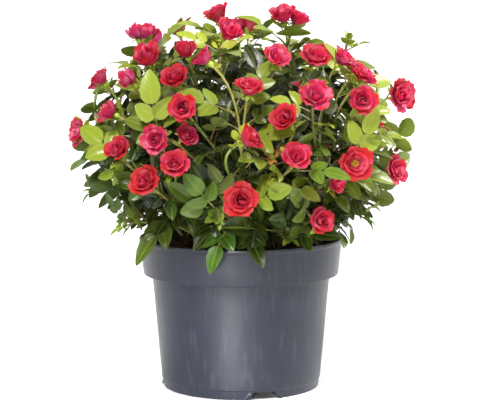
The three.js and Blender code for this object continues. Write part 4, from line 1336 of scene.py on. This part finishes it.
def soil_material():
    """Peat and bark: dull, dark brown grains, and paler shreds. Tone is (loose crumb, chance)."""
    made, tree, output = new_material("peat_and_bark")
    tone = parts_of(tree, "tone")
    grains = mottling(tree, 1.6, 4)
    light = add_node(tree, "range", grains, 0.35, 0.65)
    dark = add_node(tree, "mix", light, colour("#4a3020"), colour("#8a6040"))
    shred = add_node(tree, "mix", tone[1], colour("#55361f"), colour("#a9764a"))
    brown = add_node(tree, "mix", tone[0], dark, shred)
    relief = add_node(tree, "bump", 0.9, 1.2 * MM, grains)
    inputs = {"Base Color": brown, "Roughness": 0.95, "Specular IOR Level": 0.2, "Normal": relief}
    tree.links.new(add_node(tree, "surface", inputs), output.inputs[0])
    return made


# %% Root ball
SHOULDER = POT_HEIGHT - BAND_HEIGHT
POT_FLOOR = WALL + 0.4
# How far the soil stands off the pot, and from how many degrees an edge of soil or pot counts as sharp
GAP, MADE_SHARP = 0.3, 40
SOIL_SIDES, SOIL_RINGS = 96, 34
# The band's wall leans out by this slope, and the soil's edge follows it
slope = (RIM_RADIUS - BAND_BOTTOM_RADIUS) / (BAND_HEIGHT - WALL)
edge = BAND_BOTTOM_RADIUS - WALL - GAP + slope * (SOIL_HEIGHT - 1 - SHOULDER - WALL)
side_profile = [
    (0, POT_FLOOR + GAP),
    (FOOT_RADIUS - WALL - GAP - 0.5, POT_FLOOR + GAP),
    (SHOULDER_RADIUS - WALL - GAP - 0.1, SHOULDER + WALL + GAP),
    (BAND_BOTTOM_RADIUS - WALL - GAP, SHOULDER + WALL + GAP),
    (edge, SOIL_HEIGHT - 1),
]
top_radii = np.linspace(edge * 0.985, 0, SOIL_RINGS)
profile = np.array(side_profile + [(r, 0.0) for r in top_radii])
points, faces = turned_grid(profile, SOIL_SIDES)
# Points come ring by ring: those of the side, those of the top, and then the lower and the upper pole
on_top = np.arange(len(points)) >= (len(side_profile) - 1) * SOIL_SIDES
on_top[-2] = False
luck = np.random.default_rng(SEED)
points[on_top, 2] = soil_top(points[on_top, 0], points[on_top, 1]) + luck.uniform(-0.7, 0.5, on_top.sum())
soil_piece = Piece()
soil_piece.add(points, faces)

# %% [markdown]
# A crumb is a box with uneven corners, most of them longer than wide, as shreds of bark are. It lies nearly
# flat, turned any way about the upright. Nothing comes after the crumbs, so one row of random numbers will
# do for them.

# %% Crumbs
CRUMBS = 620
BOX_CORNERS = np.array([(x, y, z) for z in (-1, 1) for y in (-1, 1) for x in (-1, 1)], dtype=float)
BOX_FACES = np.array([(0, 2, 3, 1), (4, 5, 7, 6), (0, 1, 5, 4), (2, 6, 7, 3), (0, 4, 6, 2), (1, 3, 7, 5)])
# How far a crumb leans about X and Y and turns about Z, in radians
CRUMB_TURNS = [0.35, 0.35, 3]


def turned_by(angles):
    """The rotation about X, then Y, then Z, each by its angle in radians."""
    c, s = np.cos(angles), np.sin(angles)
    about_x = np.array([(1, 0, 0), (0, c[0], -s[0]), (0, s[0], c[0])])
    about_y = np.array([(c[1], 0, s[1]), (0, 1, 0), (-s[1], 0, c[1])])
    about_z = np.array([(c[2], -s[2], 0), (s[2], c[2], 0), (0, 0, 1)])
    return about_z @ about_y @ about_x


for k in range(CRUMBS):
    r, turn = (edge - 3) * math.sqrt(luck.random()), 2 * math.pi * luck.random()
    x, y = r * math.cos(turn), r * math.sin(turn)
    size = luck.uniform(0.5, 1.5) * np.array([luck.uniform(0.8, 2.4), luck.uniform(0.6, 1.1), 0.5])
    lean = turned_by(luck.normal(size=3) * CRUMB_TURNS)
    block = (BOX_CORNERS * size * luck.uniform(0.7, 1.1, (8, 3))) @ lean.T
    place = np.array([x, y, float(soil_top(x, y)) + 0.4])
    soil_piece.add(block + place, BOX_FACES, tone=(1.0, luck.random(), 0))
soil_paints = [soil_material()]
soil_thing = soil_piece.finish("soil_detail", ["soil"], soil_paints, MADE_SHARP)
print("soil faces:", len(soil_thing.data.polygons))

# %% [markdown]
# ## Pot
# A nursery pot is injection-moulded from black or grey polypropylene: a thin wall, a rolled lip on a deep
# band, and a stepped foot. Three channels run in under it, so that water leaves through a hole in each, and
# their roofs stand up inside. A Bevel modifier could round its edges, but each edge here has a radius of its
# own. So it is turned as a closed profile whose corners are round already, and the channels are then cut
# with Booleans.

# %% Helpers for moulded shapes


def rounded(corners, radii, steps=4):
    """A profile with round corners: (1 - t)^2 start + 2 (1 - t) t corner + t^2 end, where the curve starts
    and ends a radius away from the corner, or at nearly half of a side that is shorter."""
    made = [corners[0]]
    for before, here, after, radius in zip(corners, corners[1:], corners[2:], radii[1:-1]):
        before, here, after = (np.array(p, dtype=float) for p in (before, here, after))
        if radius == 0:
            made.append(tuple(here))
            continue
        start = here + unit(before - here) * min(radius, np.linalg.norm(before - here) * 0.49)
        end = here + unit(after - here) * min(radius, np.linalg.norm(after - here) * 0.49)
        for t in np.linspace(0, 1, steps + 1):
            made.append(tuple((1 - t) ** 2 * start + 2 * (1 - t) * t * here + t * t * end))
    return np.array([*made, corners[-1]], dtype=float)


def with_steps(profile, longest):
    """The profile with points added, so that no part of it is longer than a limit."""
    made = [profile[0]]
    for here, after in zip(profile, profile[1:]):
        count = max(1, math.ceil(np.linalg.norm(after - here) / longest))
        made += [between(here, after, k / count) for k in range(1, count + 1)]
    return np.array(made)


# %% [markdown]
# A bar with sloping sides cuts a channel, and a wider and higher one is its roof. The Boolean modifier joins
# and cuts them, with its exact solver, which copes with walls as thin as these. Its result is taken at once
# as the new mesh, so that the pot keeps no live modifier.

# %% Channels and drains
# The sides of a channel's bar are upright for this much above the ground, and then slope
KNEE = 0.01
# How far a drain's cutter goes past the roof on both sides, and its sides
DRAIN_PAST, DRAIN_SIDES = 3, 32


def channel_block(bearing, spread, rise, near, far, low):
    """A bar with sloping sides along a bearing, from near to far: it cuts or roofs a channel."""
    foot, roof = CHANNEL_FOOT_WIDTH / 2 + spread, CHANNEL_ROOF_WIDTH / 2 + spread
    knee = max(low, 0) + KNEE
    outline = [(-foot, low), (foot, low), (foot, knee), (roof, rise), (-roof, rise), (-foot, knee)]
    out, side = heading(bearing, 0), heading(bearing + 90, 0)
    rings = [[out * reach + side * x + np.array([0, 0, z]) for x, z in outline] for reach in (near, far)]
    mesh = bpy.data.meshes.new("channel")
    walls = [(k, (k + 1) % 6, (k + 1) % 6 + 6, k + 6) for k in range(6)]
    ends = [range(5, -1, -1), range(6, 12)]
    mesh.from_pydata([tuple(p * MM) for ring in rings for p in ring], [], [*walls, *ends])
    return bpy.data.objects.new("channel", mesh)


def drain_block(bearing):
    """An upright cylinder through a channel's roof."""
    piece = Piece()
    middle = heading(bearing, 0) * DRAIN_HOLE_REACH
    heights = [CHANNEL_RISE - DRAIN_PAST, CHANNEL_RISE + WALL + DRAIN_PAST]
    line = middle + np.array([[0, 0, z] for z in heights])
    add_tube(piece, line, [DRAIN_HOLE_RADIUS] * 2, DRAIN_SIDES, 0, (0, 0, 0))
    mesh = bpy.data.meshes.new("drain")
    faces = np.concatenate(piece.faces)
    mesh.from_pydata(piece.points[0] * MM, [], [[int(v) for v in row if v >= 0] for row in faces])
    return bpy.data.objects.new("drain", mesh)


def combine(thing, cutter, operation):
    """Applies a Boolean of a cutter to a thing, and drops the cutter."""
    bpy.context.scene.collection.objects.link(cutter)
    step = thing.modifiers.new("cut", "BOOLEAN")
    step.operation, step.object, step.solver = operation, cutter, "EXACT"
    bpy.context.view_layer.update()
    ready = thing.evaluated_get(bpy.context.evaluated_depsgraph_get())
    made = bpy.data.meshes.new_from_object(ready)
    thing.modifiers.clear()
    thing.data = made
    bpy.data.objects.remove(cutter)


# %% [markdown]
# Polypropylene from recycled flakes is a dull blue-black. Handling and dust leave pale streaks on it, which
# run up and down. Its skin has the fine grain of the mould, drawn at 0.6 mm here, as coarse as it needs to
# show.

# %% Recycled polypropylene


def pot_material():
    """Moulded polypropylene, satin, greyed by dust and by scuffs that run up and down."""
    made, tree, output = new_material("recycled_polypropylene")
    streaks = mottling(tree, 5, 4, (1, 1, 7))
    dust = add_node(tree, "range", mottling(tree, 22, 3, (1, 1, 1.6)), 0.35, 0.7, 0, 0.6)
    grey = add_node(tree, "mix", dust, colour("#151924"), colour("#1e222e"))
    scuffs = add_node(tree, "range", streaks, 0.55, 0.8, 0, 0.25)
    grey = add_node(tree, "mix", scuffs, grey, colour("#4a4d5b"))
    rough = add_node(tree, "range", streaks, 0.3, 0.7, 0.34, 0.42)
    relief = add_node(tree, "bump", 0.15, 0.2 * MM, mottling(tree, 0.6))
    inputs = {"Base Color": grey, "Roughness": rough, "Specular IOR Level": 0.42, "Normal": relief}
    tree.links.new(add_node(tree, "surface", inputs), output.inputs[0])
    return made


# %% [markdown]
# The profile starts at the middle of the underside, runs up outside, over the lip and down inside. Roofs of
# channels are added before the channels are cut, and the soil gets room for both.

# %% Moulded pot
POT_SIDES, LONGEST_STEP = 128, 14
# How far a cutter starts under the ground
CUT_BELOW = -2
# Each corner's radius from the axis, its height, and how round it is
pot_corners = [
    (0, 0, 0),
    (FOOT_RADIUS - 0.6, 0, 1.2),
    (FOOT_RADIUS + 0.5, FOOT_HEIGHT, 0.5),
    (BODY_FOOT_RADIUS, FOOT_HEIGHT + 0.5, 0.6),
    (SHOULDER_RADIUS, SHOULDER, 0.8),
    (BAND_BOTTOM_RADIUS, SHOULDER, 1.0),
    (RIM_RADIUS - 0.9, POT_HEIGHT - 4.2, 1.2),
    (RIM_RADIUS, POT_HEIGHT - 3.2, 0.9),
    (RIM_RADIUS, POT_HEIGHT, 0.9),
    (RIM_RADIUS - WALL - 0.2, POT_HEIGHT, 0.7),
    (BAND_BOTTOM_RADIUS - WALL, SHOULDER + WALL, 0.8),
    (SHOULDER_RADIUS - WALL, SHOULDER + WALL, 0.8),
    (FOOT_RADIUS - WALL, POT_FLOOR, 1.0),
    (0, POT_FLOOR, 0),
]
pot_profile = rounded([(r, z) for r, z, _ in pot_corners], [radius for _, _, radius in pot_corners])
pot_profile = with_steps(pot_profile, LONGEST_STEP)
points, faces = turned_grid(pot_profile, POT_SIDES)
pot_piece = Piece()
pot_piece.add(points, faces)
pot_thing = pot_piece.finish("pot_detail", ["pot"], [pot_material()], MADE_SHARP)
roof_top, roof_end = CHANNEL_RISE + WALL, CHANNEL_INNER_END - WALL
for bearing in CHANNEL_BEARINGS:
    roof = channel_block(bearing, WALL, roof_top, roof_end, FOOT_RADIUS - WALL / 2, 0.2)
    combine(pot_thing, roof, "UNION")
for bearing in CHANNEL_BEARINGS:
    mouth = channel_block(bearing, 0, CHANNEL_RISE, CHANNEL_INNER_END, RIM_RADIUS, CUT_BELOW)
    combine(pot_thing, mouth, "DIFFERENCE")
    combine(pot_thing, drain_block(bearing), "DIFFERENCE")
    room = channel_block(bearing, WALL + GAP, roof_top + GAP, roof_end - GAP, RIM_RADIUS, CUT_BELOW)
    combine(soil_thing, room, "DIFFERENCE")
print("pot faces:", len(pot_thing.data.polygons))

# %% [markdown]
# ## Studio
# The plant stands on a plain white floor before a white backdrop, as in a product picture. The main
# daylight comes from high on the front left, a second one from behind on the right makes the edges glow,
# and a weak third one lights the right side. A lamp on the left softens the shadows, and a spot draws the
# pale streak down the pot. An evenly bright room would be simpler, but it fills every hollow of the crown
# with light. So the room towards the camera is dim, and the gaps between the leaves stay dark.

# %% Floor and room
# The floor's half-width in metres: its edge is out of sight
FLOOR = 60.0
floor_mesh = bpy.data.meshes.new("floor")
floor_corners = [(-FLOOR, -FLOOR, 0), (FLOOR, -FLOOR, 0), (FLOOR, FLOOR, 0), (-FLOOR, FLOOR, 0)]
floor_mesh.from_pydata(floor_corners, [], [(0, 1, 2, 3)])
floor = bpy.data.objects.new("floor", floor_mesh)
bpy.context.scene.collection.objects.link(floor)
floor_paint, floor_tree, floor_output = new_material("white_paper_sweep")
floor_surface = add_node(floor_tree, "surface", colour("#eaeaea"), 0.9)
floor_tree.links.new(floor_surface, floor_output.inputs[0])
floor_mesh.materials.append(floor_paint)

world = bpy.data.worlds.new("soft_studio")
bpy.context.scene.world = world
world.use_nodes = True
sky_tree = world.node_tree
way_parts = add_node(sky_tree, "split", add_node(sky_tree, "coordinates")["Generated"])
# The backdrop is bright, the side of the camera dim, and a bright band runs round at eye level
backdrop = add_node(sky_tree, "range", way_parts[1], 0.0, 0.6, 0.09, 1.0)
off_level = add_node(sky_tree, "math", way_parts[2], operation="ABSOLUTE")
band = add_node(sky_tree, "range", off_level, 0.12, 0.2, 0.95, 0.0)
strength = add_node(sky_tree, "math", backdrop, band, operation="MAXIMUM")
background = sky_tree.nodes["Background"]
sky_tree.links.new(strength, background.inputs[1])
background.inputs[0].default_value = (1, 1, 1, 1)

# %% [markdown]
# Far windows give parallel light, whose spread makes their shadows soft. The lamp and the spot stand near
# the camera, in metres from the pot's foot.

# %% Windows and lamps


def far_light(name, energy, spread, tilt, turn):
    """Light from far away. Degrees: its spread, its tilt from overhead to the front, and its turn."""
    lamp = bpy.data.lights.new(name, "SUN")
    lamp.energy, lamp.angle = energy, math.radians(spread)
    thing = bpy.data.objects.new(name, lamp)
    thing.rotation_euler = (math.radians(tilt), 0, math.radians(turn))
    bpy.context.scene.collection.objects.link(thing)


def near_light(name, kind, place, aim, watts, **settings):
    """An area lamp or a spot lamp at a place in metres, turned to an aim."""
    lamp = bpy.data.lights.new(name, kind)
    lamp.energy = watts
    for key, value in settings.items():
        setattr(lamp, key, value)
    thing = bpy.data.objects.new(name, lamp)
    thing.location = place
    way = np.array(aim, dtype=float) - np.array(place, dtype=float)
    flat = math.hypot(way[0], way[1])
    thing.rotation_euler = (math.atan2(flat, -way[2]), 0, math.atan2(-way[0], way[1]))
    bpy.context.scene.collection.objects.link(thing)


far_light("front_window", 3.3, 14, 40, -20)
far_light("back_window", 3.8, 25, -54, -70)
far_light("side_window", 0.8, 40, 50, 66)
near_light("key_lamp", "AREA", (-0.5, -1.6, 1.5), (0, 0, 0.2), 13, size=0.36)
cone = {"spot_size": math.radians(10), "spot_blend": 1.0, "shadow_soft_size": 0.08}
near_light("pot_lamp", "SPOT", (-0.34, -1.45, 0.05), (0, 0, 0.025), 230, **cone)
print("lights:", len(bpy.data.lights))

# %% [markdown]
# The camera stands where the picture was taken from, worked out from how the pot's rim and foot show in
# it: a little above the rim, looking slightly down through a long lens. The plant stands 9 pixels left of
# the middle of a picture that is 500 wide.

# %% Camera
CAMERA_DISTANCE, CAMERA_HEIGHT = 1.7, 0.3677
PITCH = math.radians(6.5)
SENSOR_WIDTH, FOCAL_LENGTH = 36, 132.1
lens = bpy.data.cameras.new("camera")
lens.sensor_width, lens.lens = SENSOR_WIDTH, FOCAL_LENGTH
lens.shift_x = 9 / 500
camera = bpy.data.objects.new("camera", lens)
camera.location = (0, -CAMERA_DISTANCE, CAMERA_HEIGHT)
camera.rotation_euler = (math.pi / 2 - PITCH, 0, 0)
bpy.context.scene.collection.objects.link(camera)
bpy.context.scene.camera = camera
bpy.context.scene.view_settings.view_transform = "Standard"
print("camera height and lens in mm:", CAMERA_HEIGHT / MM, lens.lens)
